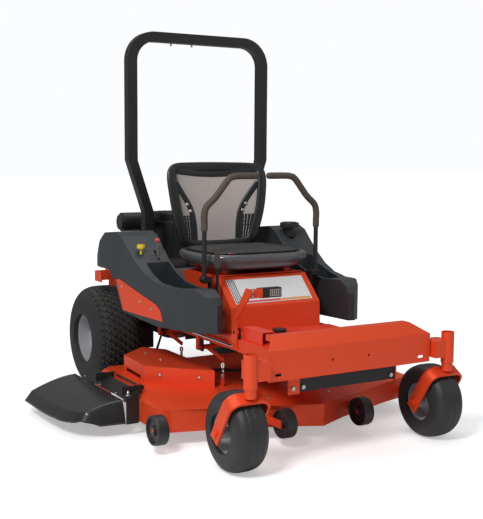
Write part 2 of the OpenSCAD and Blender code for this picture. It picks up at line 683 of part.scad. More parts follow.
// ---- seat ----
seat_front_y = 692;
seat_rear_y = 1185;
seat_low_z = 724;
cushion_low_z = 772;
cushion_top_z = 812;
seat_hinge_y = 764;
seat_hinge_r = 4;
function oval(rx, ry, n, p) = [for (i = [0 : n - 1]) let (a = -360 * i / n, c = cos(a), s = sin(a))
    [rx * sign(c) * pow(abs(c), p), ry * sign(s) * pow(abs(s), p)]];
module seat_slab(low, high, d) translate([0, (seat_front_y + seat_rear_y) / 2, low])
    linear_extrude(high - low) polygon(oval(seat_half - d, (seat_rear_y - seat_front_y) / 2 - d, 48, 0.55));
module seat_plate() color(orange) placed() {
    box([-235, seat_hinge_y, console_top_z + 1], [235, 1086, console_top_z + 5]);
    rod_x(-235, 235, seat_hinge_y, console_top_z + 1 + seat_hinge_r, seat_hinge_r);
    for (side = [-1, 1]) sided(side) box([-190, 800, console_top_z + 5], [-160, 1080, seat_low_z - 8]);
}
module seat_shell() color(charcoal) placed() union() {
    difference() {
        seat_slab(seat_low_z, cushion_low_z + 14, 0);
        seat_slab(cushion_low_z, cushion_low_z + 15, 14);
    }
    for (side = [-1, 1]) sided(side) box([-194, 830, seat_low_z - 7.5], [-156, 1050, seat_low_z]);
}
module seat_cushion() color(black) placed()
    seat_slab(cushion_low_z + 0.3, cushion_top_z, 14.5);
back_lean = 7;
back_foot_y = 1192;
back_foot_z = 790;
back_t = 34;
back_outline = [[-215, 0], [-262, 90], [-296, 215], [-300, 300], [-288, 390], [-262, 425], [-225, 438],
    [225, 438], [262, 425], [288, 390], [300, 300], [296, 215], [262, 90], [215, 0]];
mesh_outline = inset(back_outline, 34);
module reclined() translate([0, back_foot_y, back_foot_z]) rotate([-back_lean, 0, 0]) children();
module seat_back_frame() color(charcoal) placed() union() {
    reclined() {
        front_extrude(0, back_t) difference() {
            polygon(back_outline);
            polygon(mesh_outline);
        }
        for (side = [-1, 1]) sided(side) front_extrude(12, back_t) polygon([[-262, 380], [-228, 400],
            [-110, 190], [-100, 10], [-135, 10], [-145, 180]]);
    }
    for (side = [-1, 1]) sided(side)
        box([-140, seat_rear_y - 60, seat_low_z - 6], [-95, back_foot_y + 28, seat_low_z - 0.3]);
    for (side = [-1, 1]) sided(side)
        box([-140, back_foot_y + 18, seat_low_z - 6], [-95, back_foot_y + 28, back_foot_z + 60]);
}
module seat_mesh() color([0.6, 0.55, 0.53]) placed() reclined()
    front_extrude(5, 9) polygon(inset(mesh_outline, 0.2));

// ---- deck ----
deck_rim_z = deck_top_z - 16;
plate_top_z = deck_top_z + 14;
deck_front_y = 284;
deck_back_y = 1340;
deck_plan = [[0, deck_front_y], [-164, 362], [-500, 478], [-645, 518], [-deck_half, 562],
    [-deck_half, 1292], [-640, deck_back_y], [640, deck_back_y], [deck_half, 1292],
    [deck_half, 562], [645, 518], [500, 478], [164, 362]];
plate_plan = [[-60, 430], [-370, 640], [-600, 860], [-640, 900], [-640, 1280], [-600, 1318],
    [600, 1318], [640, 1280], [640, 900], [600, 860], [370, 640], [60, 430]];
spindles = [[deck_shift - spindle_pitch, 985], [deck_shift, 700], [deck_shift + spindle_pitch, 985]];
open_front_y = 770;
open_back_y = 1085;
hinge_x = right_x + 25;
hinge_z = 212;
module deck_body(d) union() {
    translate([0, 0, deck_low_z - (d > 0 ? 1 : 0)])
        linear_extrude(deck_rim_z - deck_low_z + (d > 0 ? 1 : 0) + 0.01) polygon(inset(deck_plan, d));
    translate([0, 0, -d]) hull() {
        translate([0, 0, deck_rim_z]) linear_extrude(0.01) polygon(inset(deck_plan, d));
        translate([0, 0, plate_top_z - 0.01]) linear_extrude(0.01) polygon(inset(plate_plan, d));
    }
}
inner_roller_x = 208;
roller_z = 105;
roller_pin_r = 8;
rollers = [[right_x - 48, 458, 1], [deck_shift - inner_roller_x, 284, -1],
    [deck_shift + inner_roller_x, 284, 1], [left_x - 40, 428, -1]];
// An arm that holds a roller: a plate beside it, a foot on the skirt and the pin
module roller_arm(r) {
    side = r[2];
    face = r[0] + side * (roller_w / 2 + 1);
    foot_y = r[0] < right_x ? 575 : r[1] + 165;
    sided(-side)
        box([min(face * side, face * side + 6), r[1] - 18, roller_z - 18],
            [max(face * side, face * side + 6), foot_y, roller_z + 18]);
    if (r[0] < right_x) box([face, foot_y - 30, roller_z - 18], [right_x + 1, foot_y, roller_z + 18]);
    rod_x(min(face + side, face - side * roller_w), max(face + side, face - side * roller_w),
        r[1], roller_z, roller_pin_r);
}
module deck_shell() color(orange) placed() difference() {
    union() {
        translate([deck_shift, 0, 0]) difference() {
            deck_body(0);
            deck_body(deck_t);
        }
        for (r = rollers) roller_trimmed(r);
        for (y = [open_front_y + 34, open_back_y - 22])
            box([hinge_x - 12, y, deck_rim_z + 8], [hinge_x + 12, y + 6, hinge_z + 13]);
        for (x = [-chain_x, chain_x], y = [front_chain_y, rear_chain_y])
            box([x - 4, y - 12, plate_top_z - 1], [x + 4, y + 12, plate_top_z + 34]);
    }
    box([right_x - 10, open_front_y, deck_low_z - 1], [right_x + 20, open_back_y, deck_rim_z - 12]);
    for (s = spindles) rod_z(plate_top_z - 12, plate_top_z + 5, s[0], s[1], housing_r + shaft_gap);
    rod_y(open_front_y, open_back_y, hinge_x, hinge_z, hinge_rod_r + shaft_gap);
}
hinge_rod_r = 5;
// The part of an arm that stands outside the deck's hollow
module roller_trimmed(r) difference() {
    roller_arm(r);
    translate([deck_shift, 0, 0]) translate([0, 0, deck_low_z - 10])
        linear_extrude(200) polygon(inset(deck_plan, deck_t));
}
cover_plan = [[-302, 669], [-545, 915], [-528, 1190], [-368, 1325], [-285, 1213], [-285, 790]];
cover_top_z = 276;
cover_t = 3;
module belt_cover() difference() {
    translate([0, 0, plate_top_z]) linear_extrude(cover_top_z - plate_top_z) polygon(cover_plan);
    translate([0, 0, plate_top_z - 1]) linear_extrude(cover_top_z - plate_top_z + 1 - cover_t) union() {
        polygon(inset(cover_plan, cover_t));
        translate([12, 10]) polygon(inset(cover_plan, cover_t));
    }
    box([-560, 960, plate_top_z + 8], [-500, 1160, plate_top_z + 26]);
}
module belt_covers() color(orange) placed() translate([deck_shift, 0, 0]) for (side = [-1, 1])
    sided(side) translate([-deck_shift, 0, 0]) belt_cover();
housing_r = 36;
spindle_r = 12.5;
module spindle_housings() color(charcoal) placed() for (s = spindles) difference() {
    union() {
        rod_z(130, plate_top_z + 30, s[0], s[1], housing_r);
        rod_z(plate_top_z, plate_top_z + 6, s[0], s[1], 68);
    }
    rod_z(129, plate_top_z + 31, s[0], s[1], spindle_r + shaft_gap);
}
blade_z = 92;
module spindle(s) placed() translate([s[0], s[1], 0]) {
    color(steel) union() {
        rod_z(blade_z - 14, pulley_low_z + 30, 0, 0, spindle_r);
        rod_z(pulley_low_z, pulley_low_z + 22, 0, 0, pulley_r);
        rod_z(blade_z + 7, 128, 0, 0, 24);
    }
    color(charcoal) difference() {
        union() {
            box([-blade_r + 12, -31, blade_z], [blade_r - 12, 31, blade_z + 6]);
            for (a = [0, 180]) rotate([0, 0, a]) box([-blade_r + 14, 6, blade_z + 5], [-blade_r + 90, 31,
                blade_z + 22]);
        }
        rod_z(blade_z - 1, blade_z + 7, 0, 0, spindle_r);
    }
}
module spindle_right() spindle(spindles[0]);
module spindle_centre() spindle(spindles[1]);
module spindle_left() spindle(spindles[2]);
belt_w = 9;
module pulley_loop(r) hull() {
    for (s = spindles) translate(s) circle(r = r, $fn = 64);
    translate([0, crank_y]) circle(r = r, $fn = 64);
}
module deck_belt() color(rubber) placed() translate([0, 0,
    pulley_low_z + 4]) linear_extrude(13) difference() {
    pulley_loop(pulley_r + 0.6 + belt_w);
    pulley_loop(pulley_r + 0.6);
}

// ---- chute ----
seam_x = right_x - 63;
seam_z = 168;
module chute_bracket() placed() {
    color(black) difference() {
        union() {
            front_extrude(750, 1300) polygon([[right_x - 3, 203], [right_x - 3, 207],
                [seam_x - 2, seam_z + 4], [seam_x - 2, seam_z]]);
            front_extrude(746, 750) polygon([[right_x - 4, 206], [seam_x - 2, seam_z + 4], [seam_x - 2, 58],
                [right_x - 4, 58]]);
            for (y = [open_front_y + 6, open_back_y + 1]) {
                box([seam_x - 10, y, 186], [hinge_x, y + 6, hinge_z + 12]);
                rod_y(y, y + 6, hinge_x, hinge_z, 12);
            }
        }
        rod_y(740, 1310, hinge_x, hinge_z, hinge_rod_r);
    }
    color(steel) rod_y(open_front_y + 1, open_back_y + 12, hinge_x, hinge_z, hinge_rod_r);
}
chute_plan = [[seam_x - 2.5, 746], [chute_x + 115, 748], [chute_x + 62, 830], [chute_x + 20, 1000],
    [chute_x, 1240], [chute_x, 1385], [chute_x + 20, 1392], [seam_x - 2.5, 1312]];
module chute_section(d) polygon([[seam_x + 1, 174 - d], [chute_x + 190, 164 - d], [chute_x + 90, 138 - d],
    [chute_x - 1, 96 - d], [chute_x - 1, 40], [seam_x + 1, 40]]);
rubber_t = 8;
module chute_rubber() color(rubber) placed() difference() {
    intersection() {
        linear_extrude(300) polygon(chute_plan);
        front_extrude(740, 1400) chute_section(0);
    }
    intersection() {
        translate([0, 0, -1]) linear_extrude(300) polygon(chute_hollow);
        front_extrude(739, 1401) translate([0, -2]) chute_section(rubber_t);
    }
}
chute_hollow = [[seam_x + 5, 746 + rubber_t], [chute_x + 115 + rubber_t, 748 + rubber_t],
    [chute_x + 62 + rubber_t, 830 + rubber_t], [chute_x + 20 + rubber_t, 1000 + rubber_t],
    [chute_x + rubber_t, 1240], [chute_x - 20, 1240], [chute_x - 20, 1420], [seam_x + 5, 1420]];

// ---- rollers ----
module roller(r) color(rubber) placed() difference() {
    translate([r[0] - roller_w / 2, r[1], roller_z]) rotate([0, 90, 0]) rotate_extrude($fn = 64)
        difference() {
            intersection() {
                square([roller_r, roller_w]);
                translate([0, roller_w / 2]) circle(r = roller_r + 3, $fn = 64);
            }
            for (y = [-1, roller_w - 11]) translate([22, y]) square([roller_r - 32, 12]);
        }
    rod_x(r[0] - roller_w, r[0] + roller_w, r[1], roller_z, roller_pin_r + shaft_gap);
}
module roller_outer_right() roller(rollers[0]);
module roller_inner_right() roller(rollers[1]);
module roller_inner_left() roller(rollers[2]);
module roller_outer_left() roller(rollers[3]);

// ---- deck lift ----
chain_x = 255;
front_chain_y = 680;
rear_chain_y = 1100;
lift_arm = 160;
lift_shaft_z = 355;
lift_shaft_r = 12;
arm_drop = 11;
rod_z_mid = 425;
rod_x_mid = -rail_x - tube_w / 2 - 22;
link_r = 7;
module lift_pedal() placed() {
    color(orange) difference() {
        union() {
            rod_x(-rail_x - 35, -rail_x - 22, pedal_y, pedal_z, 20);
            side_extrude(-rail_x - 35, -rail_x - 27) polygon([[pedal_y - 19, rod_z_mid - 14],
                [pedal_y + 19, rod_z_mid - 14], [pedal_y + 19, pedal_z + 60], [pad_y + 30, pedal_z + 196],
                [pad_y + 22, pedal_z + 208], [pad_y - 12, pedal_z + 208], [pad_y - 16, pedal_z + 180],
                [pedal_y - 19, pedal_z + 60]]);
            box([-rail_x - 27, pad_y, pedal_z + 165], [-rail_x + 40, pad_y + 8, pedal_z + 205]);
        }
        rod_x(-rail_x - 40, -rail_x, pedal_y, pedal_z, pin_r + shaft_gap);
    }
    color(black) box([-rail_x + 28, pad_y + 8, pedal_z + 163], [-rail_x + 140, pad_y + 38, pedal_z + 203]);
}
pad_y = pedal_y - 118;
module lift_rod() color(steel) placed()
    rod_y(pedal_y - 10, rear_shaft_y + 10, rod_x_mid, rod_z_mid, link_r);
front_shaft_y = front_chain_y + lift_arm * cos(arm_drop);
rear_shaft_y = rear_chain_y + lift_arm * cos(arm_drop);
module lift_shaft(y) color(orange) placed() union() {
    rod_x(-rail_x - 38, rail_x + 24, y, lift_shaft_z, lift_shaft_r);
    box([-rail_x - 38, y - 12, lift_shaft_z], [-rail_x - 31, y + 12, rod_z_mid + 12]);
    for (x = [-chain_x, chain_x]) translate([x - 4, y, lift_shaft_z]) rotate([arm_drop, 0, 0])
        box([0, -lift_arm - 8, -9], [8, 0, 9]);
}
module lift_shaft_front() lift_shaft(front_shaft_y);
module lift_shaft_rear() lift_shaft(rear_shaft_y);
module lift_hangers() for (side = [-1, 1]) sided(side)
    for (y = [front_shaft_y, rear_shaft_y]) difference() {
        box([-rail_x - 18, y - 18, lift_shaft_z - 18], [-rail_x - 10, y + 18, rail_low_z]);
        rod_x(-rail_x - 40, -rail_x, y, lift_shaft_z, lift_shaft_r + shaft_gap);
    }
// A chain of round links, each turned a quarter from the last
link_long = 26;
link_wide = 17;
wire_r = 3;
module chain_link() rotate([90, 0, 0]) difference() {
    union() {
        translate([0, 0, -wire_r]) linear_extrude(2 * wire_r) square([link_wide, link_long - link_wide],
            center = true);
        for (s = [-1, 1]) translate([0, s * (link_long - link_wide) / 2,
            -wire_r]) cylinder(r = link_wide / 2, h = 2 * wire_r);
    }
    translate([0, 0, -wire_r - 1]) linear_extrude(2 * wire_r + 2)
        square([link_wide - 4 * wire_r, link_long - link_wide], center = true);
    for (s = [-1, 1]) translate([0, s * (link_long - link_wide) / 2, -wire_r - 1])
        cylinder(r = link_wide / 2 - 2 * wire_r, h = 2 * wire_r + 2);
}
chain_low_z = plate_top_z + 34;
chain_top_z = lift_shaft_z - lift_arm * sin(arm_drop) - 16;
link_count = floor((chain_top_z - chain_low_z) / link_long);
module lift_chains() color(steel) placed() for (x = [-chain_x, chain_x], y = [front_chain_y, rear_chain_y])
    for (i = [0 : link_count - 1]) translate([x, y, chain_low_z + link_long * (i + 0.5)])
        rotate([0, 0, 90 * (i % 2)]) chain_link();

frame_rails();
front_frame();
front_beam();
engine_plate();
rear_guard();
floor_pan();
console();
rops();
chassis_bolts();
fender_right();
fender_left();
badge_panels();
engine_block();
engine_shroud();
air_cleaner();
muffler();
transaxles();
chassis_brackets();
engine_shaft();
rear_tyre_right();
rear_rim_right();
rear_tyre_left();
rear_rim_left();
caster_fork_right();
caster_fork_left();
caster_tyre_right();
caster_rim_right();
caster_tyre_left();
caster_rim_left();
lap_lever_right();
lap_lever_left();
lap_bar_right();
lap_bar_left();
seat_plate();
seat_shell();
seat_cushion();
seat_back_frame();
seat_mesh();
deck_shell();
belt_covers();
spindle_housings();
spindle_right();
spindle_centre();
spindle_left();
deck_belt();
chute_bracket();
chute_rubber();
roller_outer_right();
roller_inner_right();
roller_inner_left();
roller_outer_left();
lift_pedal();
lift_rod();
lift_shaft_front();
lift_shaft_rear();
lift_chains();
brake_lever();
throttle_lever();
pto_knob();
fuel_cap();
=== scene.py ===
"""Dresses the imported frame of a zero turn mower: finishes, tyres, seat, chute and hardware."""

import math

import bmesh
import bpy
from mathutils import Matrix, Vector


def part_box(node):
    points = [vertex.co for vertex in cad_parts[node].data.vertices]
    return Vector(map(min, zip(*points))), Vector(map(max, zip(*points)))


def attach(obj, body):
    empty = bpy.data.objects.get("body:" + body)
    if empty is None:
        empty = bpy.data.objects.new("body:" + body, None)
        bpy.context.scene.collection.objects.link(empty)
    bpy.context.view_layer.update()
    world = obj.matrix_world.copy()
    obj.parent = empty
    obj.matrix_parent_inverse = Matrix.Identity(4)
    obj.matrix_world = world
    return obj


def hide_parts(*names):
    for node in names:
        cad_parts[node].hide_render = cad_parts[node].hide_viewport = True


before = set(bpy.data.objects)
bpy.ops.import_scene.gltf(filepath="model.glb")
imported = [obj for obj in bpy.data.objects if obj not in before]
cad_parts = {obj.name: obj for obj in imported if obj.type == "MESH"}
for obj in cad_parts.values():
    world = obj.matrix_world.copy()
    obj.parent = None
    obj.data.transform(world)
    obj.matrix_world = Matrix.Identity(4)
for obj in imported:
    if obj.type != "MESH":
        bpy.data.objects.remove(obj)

bl_info = {
    "name": "Zero Turn Mower",
    "version": (1, 0, 0),
    "blender": (4, 5, 0),
    "location": "View3D > Sidebar > Mower",
    "description": "Builds the visible pieces of a zero turn mower round its packed frame",
    "category": "Object",
}

SIDES = (("right", -1), ("left", 1))
CENTRE_X = sum(corner.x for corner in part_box("console")) / 2
CAMERA_PLACE = (-2.2884, -4.1171, 1.2830)
CAMERA_TURN = ((-30.4, "Z"), (83.6, "X"), (0.4, "Z"))  # degrees, applied from the left
AIM = (0.1, -0.1, 0.5)  # the point that every lamp faces
LAMPS = (("key", (-3.6, -2.6, 4.4), 1.4, 215), ("fill", (3.6, -3.0, 2.6), 3.0, 16), ("top", (0.0, 0.6, 4.6), 2.6, 52))
SKY_LIGHT, SKY_EXTRA_SEEN = 0.28, 0.72  # the sky's strength, and what is added where the camera sees it
FLOOR_GLOW = 0.8
BOSS_R, TUBE_R, GRIP_R, GRIP_BEND_R = 0.018, 0.011, 0.0158, 0.017


# ---- settings ----
class MowerFinish(bpy.types.PropertyGroup):
    paint: bpy.props.FloatVectorProperty(
        name="Paint", description="Colour of the painted frame and deck",
        subtype="COLOR", size=3, min=0, max=1, default=(0.78, 0.036, 0.006))
    moulding: bpy.props.FloatVectorProperty(
        name="Moulding", description="Colour of the moulded fenders",
        subtype="COLOR", size=3, min=0, max=1, default=(0.024, 0.029, 0.034))
    grip: bpy.props.FloatVectorProperty(
        name="Grip", description="Colour of the foam grips on the control bars",
        subtype="COLOR", size=3, min=0, max=1, default=(0.075, 0.057, 0.043))
    rim: bpy.props.FloatVectorProperty(
        name="Rim", description="Colour of the painted wheel rims",
        subtype="COLOR", size=3, min=0, max=1, default=(0.30, 0.31, 0.33))


class MowerSizes(bpy.types.PropertyGroup):
    lug_depth: bpy.props.FloatProperty(
        name="Lug depth", description="Depth of the grooves between the rear tyres' blocks",
        unit="LENGTH", min=0.002, max=0.015, default=0.009)
    lug_count: bpy.props.IntProperty(
        name="Blocks round", description="Blocks in one row round a rear tyre",
        min=20, max=70, default=42)
    cushion_crown: bpy.props.FloatProperty(
        name="Cushion crown", description="Most that the cushion may swell",
        unit="LENGTH", min=0.002, max=0.012, default=0.006)
    net_cell: bpy.props.FloatProperty(
        name="Net cell", description="Pitch of the backrest's net",
        unit="LENGTH", min=0.001, max=0.01, default=0.0032)


class MowerStage(bpy.types.PropertyGroup):
    lens: bpy.props.FloatProperty(
        name="Lens", description="Focal length of the camera, in millimetres",
        min=20, max=200, default=66.96)
    floor: bpy.props.FloatVectorProperty(
        name="Floor", description="Colour of the studio floor",
        subtype="COLOR", size=3, min=0, max=1, default=(0.93, 0.93, 0.935))


# ---- mesh helpers ----
def loft(bm, rings, closed=True, wrap=False, cap=True, mat=0):
    """Skins a list of rings of points; closed joins each ring's ends, wrap joins the last ring to the first."""
    rows = [[bm.verts.new(p) for p in ring] for ring in rings]
    width = len(rows[0])
    pairs = list(zip(rows, rows[1:])) + ([(rows[-1], rows[0])] if wrap else [])
    for low, high in pairs:
        for i in range(width if closed else width - 1):
            j = (i + 1) % width
            bm.faces.new((low[i], low[j], high[j], high[i])).material_index = mat
    if cap and not wrap and closed:
        bm.faces.new(list(reversed(rows[0]))).material_index = mat
        bm.faces.new(rows[-1]).material_index = mat
    return rows


def slab(bm, low, high, mat=0):
    """A box between two corners."""
    ring = [(low[0], low[1]), (high[0], low[1]), (high[0], high[1]), (low[0], high[1])]
    loft(bm, [[Vector((x, y, z)) for x, y in ring] for z in (low[2], high[2])], mat=mat)


def basis(axis):
    """Two unit vectors across an axis."""
    axis = Vector(axis).normalized()
    side = axis.cross(Vector((0, 0, 1)) if abs(axis.z) < 0.9 else Vector((1, 0, 0))).normalized()
    return axis, side, axis.cross(side)


def turned(bm, centre, axis, profile, steps=32, mat=0):
    """Turns a profile of (radius, height) pairs about an axis."""
    axis, side, up = basis(axis)
    centre = Vector(centre)
    rings = []
    for radius, height in profile:
        ring = []
        for i in range(steps):
            a = 2 * math.pi * i / steps
            ring.append(centre + axis * height + (side * math.cos(a) + up * math.sin(a)) * max(radius, 1e-4))
        rings.append(ring)
    loft(bm, rings, mat=mat)


def sweep(bm, points, half_wide, half_thick, steps=16, closed=False, flat_axis=None, mat=0, taper=None):
    """Sweeps an oval section along points; flat_axis is its thin direction, taper a factor for each point."""
    points = [Vector(p) for p in points]
    count = len(points)
    rings = []
    for k, point in enumerate(points):
        before = points[(k - 1) % count] if closed or k else point
        after = points[(k + 1) % count] if closed or k < count - 1 else point
        along = (after - before).normalized()
        thin = Vector(flat_axis) if flat_axis is not None else basis(along)[1]
        thin = (thin - along * thin.dot(along)).normalized()
        wide = along.cross(thin)
        size = taper[k] if taper else 1.0
        rings.append([point + (wide * half_wide * math.cos(2 * math.pi * i / steps)
                               + thin * half_thick * math.sin(2 * math.pi * i / steps)) * size for i in range(steps)])
    loft(bm, rings, wrap=closed, mat=mat)


def smooth_path(points, per_leg=6, closed=False):
    """A Catmull-Rom curve through points."""
    points = [Vector(p) for p in points]
    count = len(points)
    out = []
    for k in range(count if closed else count - 1):
        p = [points[(k + d) % count] if closed else points[min(max(k + d, 0), count - 1)] for d in (-1, 0, 1, 2)]
        for i in range(per_leg):
            t = i / per_leg
            out.append(0.5 * (2 * p[1] + (p[2] - p[0]) * t + (2 * p[0] - 5 * p[1] + 4 * p[2] - p[3]) * t * t
                              + (3 * p[1] - p[0] - 3 * p[2] + p[3]) * t ** 3))
    if not closed:
        out.append(points[-1])
    return out


def piece(name, bm, body, materials, sharp=40, bevel=0.0, subdivide=0):
    """Turns a bmesh into a piece that rides on a body and wears the finishes named in materials."""
    bmesh.ops.recalc_face_normals(bm, faces=bm.faces)
    mesh = bpy.data.meshes.new(name)
    bm.to_mesh(mesh)
    bm.free()
    ob = bpy.data.objects.new(name, mesh)
    bpy.context.scene.collection.objects.link(ob)
    for material in materials if isinstance(materials, (list, tuple)) else [materials]:
        mesh.materials.append(bpy.data.materials[material])
    mesh.shade_smooth()
    if sharp < 180:
        mesh.set_sharp_from_angle(angle=math.radians(sharp))
    if bevel:
        mod = ob.modifiers.new("Rounding", "BEVEL")
        mod.width, mod.segments, mod.limit_method = bevel, 3, "ANGLE"
        mod.harden_normals = True
    if subdivide:
        mod = ob.modifiers.new("Smoothing", "SUBSURF")
        mod.levels = mod.render_levels = subdivide
    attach(ob, body)
    return ob


def touch(node, start, direction):
    """Where a line from start first meets a CAD node, and the way its surface faces."""
    met, place, facing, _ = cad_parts[node].ray_cast(Vector(start), Vector(direction).normalized())
    if not met:
        raise RuntimeError(f"no surface of {node} lies that way from {tuple(start)}")
    return place, facing


# ---- shader helpers ----
def link(tree, a, b):
    tree.links.new(a, b)


def value_node(tree, operation, a, b=None, clamp=False):
    """A Math node whose inputs are sockets or numbers."""
    node = tree.nodes.new("ShaderNodeMath")
    node.operation = operation
    node.use_clamp = clamp
    for index, item in enumerate((a, b)):
        if item is None:
            continue
        if isinstance(item, (int, float)):
            node.inputs[index].default_value = item
        else:
            link(tree, item, node.inputs[index])
    return node.outputs[0]


def mix_colour(tree, factor, a, b):
    """A colour Mix node; a and b are sockets or colours."""
    node = tree.nodes.new("ShaderNodeMix")
    node.data_type = "RGBA"
    link(tree, factor, node.inputs[0])
    for index, item in ((6, a), (7, b)):
        if isinstance(item, bpy.types.NodeSocket):
            link(tree, item, node.inputs[index])
        else:
            node.inputs[index].default_value = (*item, 1)
    return node.outputs[2]


def new_group(name, inputs, outputs):
    """An empty shader group with named float inputs, and outputs given as (name, type)."""
    tree = bpy.data.node_groups.new(name, "ShaderNodeTree")
    for label, default in inputs:
        tree.interface.new_socket(name=label, in_out="INPUT", socket_type="NodeSocketFloat").default_value = default
    for label, kind in outputs:
        tree.interface.new_socket(name=label, in_out="OUTPUT", socket_type=kind)
    return tree, tree.nodes.new("NodeGroupInput"), tree.nodes.new("NodeGroupOutput")


def noise(tree, scale, detail=4):
    """A noise in object space; scale is a socket or a number."""
    place = tree.nodes.new("ShaderNodeTexCoord")
    node = tree.nodes.new("ShaderNodeTexNoise")
    link(tree, place.outputs["Object"], node.inputs["Vector"])
    if isinstance(scale, (int, float)):
        node.inputs["Scale"].default_value = scale
    else:
        link(tree, scale, node.inputs["Scale"])
    node.inputs["Detail"].default_value = detail
    return node.outputs[0]


def build_groups():
    """The effects that several finishes share."""
    tree, inn, out = new_group("surface_grain", [("Scale", 200)],
                               [("Height", "NodeSocketFloat"), ("Blotch", "NodeSocketFloat")])
    link(tree, noise(tree, inn.outputs["Scale"], 5), out.inputs["Height"])
    link(tree, noise(tree, 5.0, 3), out.inputs["Blotch"])

    tree, inn, out = new_group("settled_dust", [("Amount", 0.2), ("Scale", 14)], [("Mask", "NodeSocketFloat")])
    facing = tree.nodes.new("ShaderNodeSeparateXYZ")
    link(tree, tree.nodes.new("ShaderNodeNewGeometry").outputs["Normal"], facing.inputs[0])
    up = value_node(tree, "MULTIPLY", facing.outputs[2], 0.8, clamp=True)
    patch = value_node(tree, "MULTIPLY", noise(tree, inn.outputs["Scale"], 6), 1.3, clamp=True)
    link(tree, value_node(tree, "MULTIPLY", value_node(tree, "MULTIPLY", up, patch), inn.outputs["Amount"],
                          clamp=True), out.inputs["Mask"])

    tree, inn, out = new_group("worn_edge", [("Radius", 0.002), ("Amount", 0.3)],
                               [("Mask", "NodeSocketFloat"), ("Normal", "NodeSocketVector")])
    soft = tree.nodes.new("ShaderNodeBevel")
    soft.samples = 4
    link(tree, inn.outputs["Radius"], soft.inputs["Radius"])
    turn = tree.nodes.new("ShaderNodeVectorMath")
    turn.operation = "DOT_PRODUCT"
    link(tree, soft.outputs[0], turn.inputs[0])
    link(tree, tree.nodes.new("ShaderNodeNewGeometry").outputs["Normal"], turn.inputs[1])
    bend = value_node(tree, "MULTIPLY", value_node(tree, "SUBTRACT", 1.0, turn.outputs["Value"], clamp=True), 6.0,
                      clamp=True)
    chips = value_node(tree, "GREATER_THAN", noise(tree, 60.0, 5), 0.56)
    link(tree, value_node(tree, "MULTIPLY", value_node(tree, "MULTIPLY", bend, chips), inn.outputs["Amount"]),
         out.inputs["Mask"])
    link(tree, soft.outputs[0], out.inputs["Normal"])

    tree, inn, out = new_group("cross_weave", [("Pitch", 0.003)],
                               [("Height", "NodeSocketFloat"), ("Hole", "NodeSocketFloat")])
    place = tree.nodes.new("ShaderNodeSeparateXYZ")
    link(tree, tree.nodes.new("ShaderNodeTexCoord").outputs["Object"], place.inputs[0])
    turns = value_node(tree, "DIVIDE", 2 * math.pi, inn.outputs["Pitch"])
    across = value_node(tree, "SINE", value_node(tree, "MULTIPLY", place.outputs[0], turns))
    depth = value_node(tree, "ADD", place.outputs[1], place.outputs[2])
    down = value_node(tree, "SINE", value_node(tree, "MULTIPLY", depth, turns))
    threads = value_node(tree, "MULTIPLY", across, down)
    link(tree, value_node(tree, "MULTIPLY_ADD", threads, 0.5), out.inputs["Height"])
    hole = value_node(tree, "GREATER_THAN", threads, 0.18)
    link(tree, hole, out.inputs["Hole"])


def group(tree, name, **values):
    """Places a shared group in a material with its own values."""
    node = tree.nodes.new("ShaderNodeGroup")
    node.node_tree = bpy.data.node_groups[name]
    for label, number in values.items():
        node.inputs[label].default_value = number
    return node


def finish_material(name, colour, rough, metallic=0.0, coat=0.0, grain=260.0, bump=0.05, blotch=0.12,
                    round_edge=0.0015, wear=0.0, worn=(0.3, 0.3, 0.3), dust=0.03, weave=0.0, holes=False,
                    second=None, sheen=0.0):
    """One procedural finish. second is (colour, axis, start) for a colour that begins beyond a plane."""
    mat = bpy.data.materials.new(name)
    mat.use_nodes = True
    tree = mat.node_tree
    shader = tree.nodes["Principled BSDF"]
    shader.inputs["Metallic"].default_value = metallic
    shader.inputs["Coat Weight"].default_value = coat
    shader.inputs["Coat Roughness"].default_value = 0.06
    if sheen:
        shader.inputs["Sheen Weight"].default_value = sheen
    surface = group(tree, "surface_grain", Scale=grain)
    base = colour
    if second:
        place = tree.nodes.new("ShaderNodeSeparateXYZ")
        link(tree, tree.nodes.new("ShaderNodeTexCoord").outputs["Object"], place.inputs[0])
        base = mix_colour(tree, value_node(tree, "GREATER_THAN", place.outputs[second[1]], second[2]), colour,
                          second[0])
    node = mix_colour(tree, value_node(tree, "MULTIPLY", surface.outputs["Blotch"], 2 * blotch, clamp=True),
                      base, tuple(c * 0.6 for c in colour))
    edge = group(tree, "worn_edge", Radius=round_edge, Amount=wear)
    node = mix_colour(tree, edge.outputs["Mask"], node, worn)
    grit = group(tree, "settled_dust", Amount=dust, Scale=14)
    node = mix_colour(tree, grit.outputs["Mask"], node, (0.36, 0.33, 0.28))
    link(tree, node, shader.inputs["Base Color"])
    spread = value_node(tree, "MULTIPLY", value_node(tree, "SUBTRACT", surface.outputs["Blotch"], 0.5), 0.16)
    link(tree, value_node(tree, "ADD", spread, rough, clamp=True), shader.inputs["Roughness"])
    relief = tree.nodes.new("ShaderNodeBump")
    relief.inputs["Strength"].default_value = bump
    relief.inputs["Distance"].default_value = 0.001
    height = surface.outputs["Height"]
    if weave:
        cloth = group(tree, "cross_weave", Pitch=weave)
        height = cloth.outputs["Height"]
        if holes:
            link(tree, value_node(tree, "SUBTRACT", 1.0, cloth.outputs["Hole"]), shader.inputs["Alpha"])
    link(tree, height, relief.inputs["Height"])
    link(tree, edge.outputs["Normal"], relief.inputs["Normal"])
    link(tree, relief.outputs[0], shader.inputs["Normal"])
    return mat


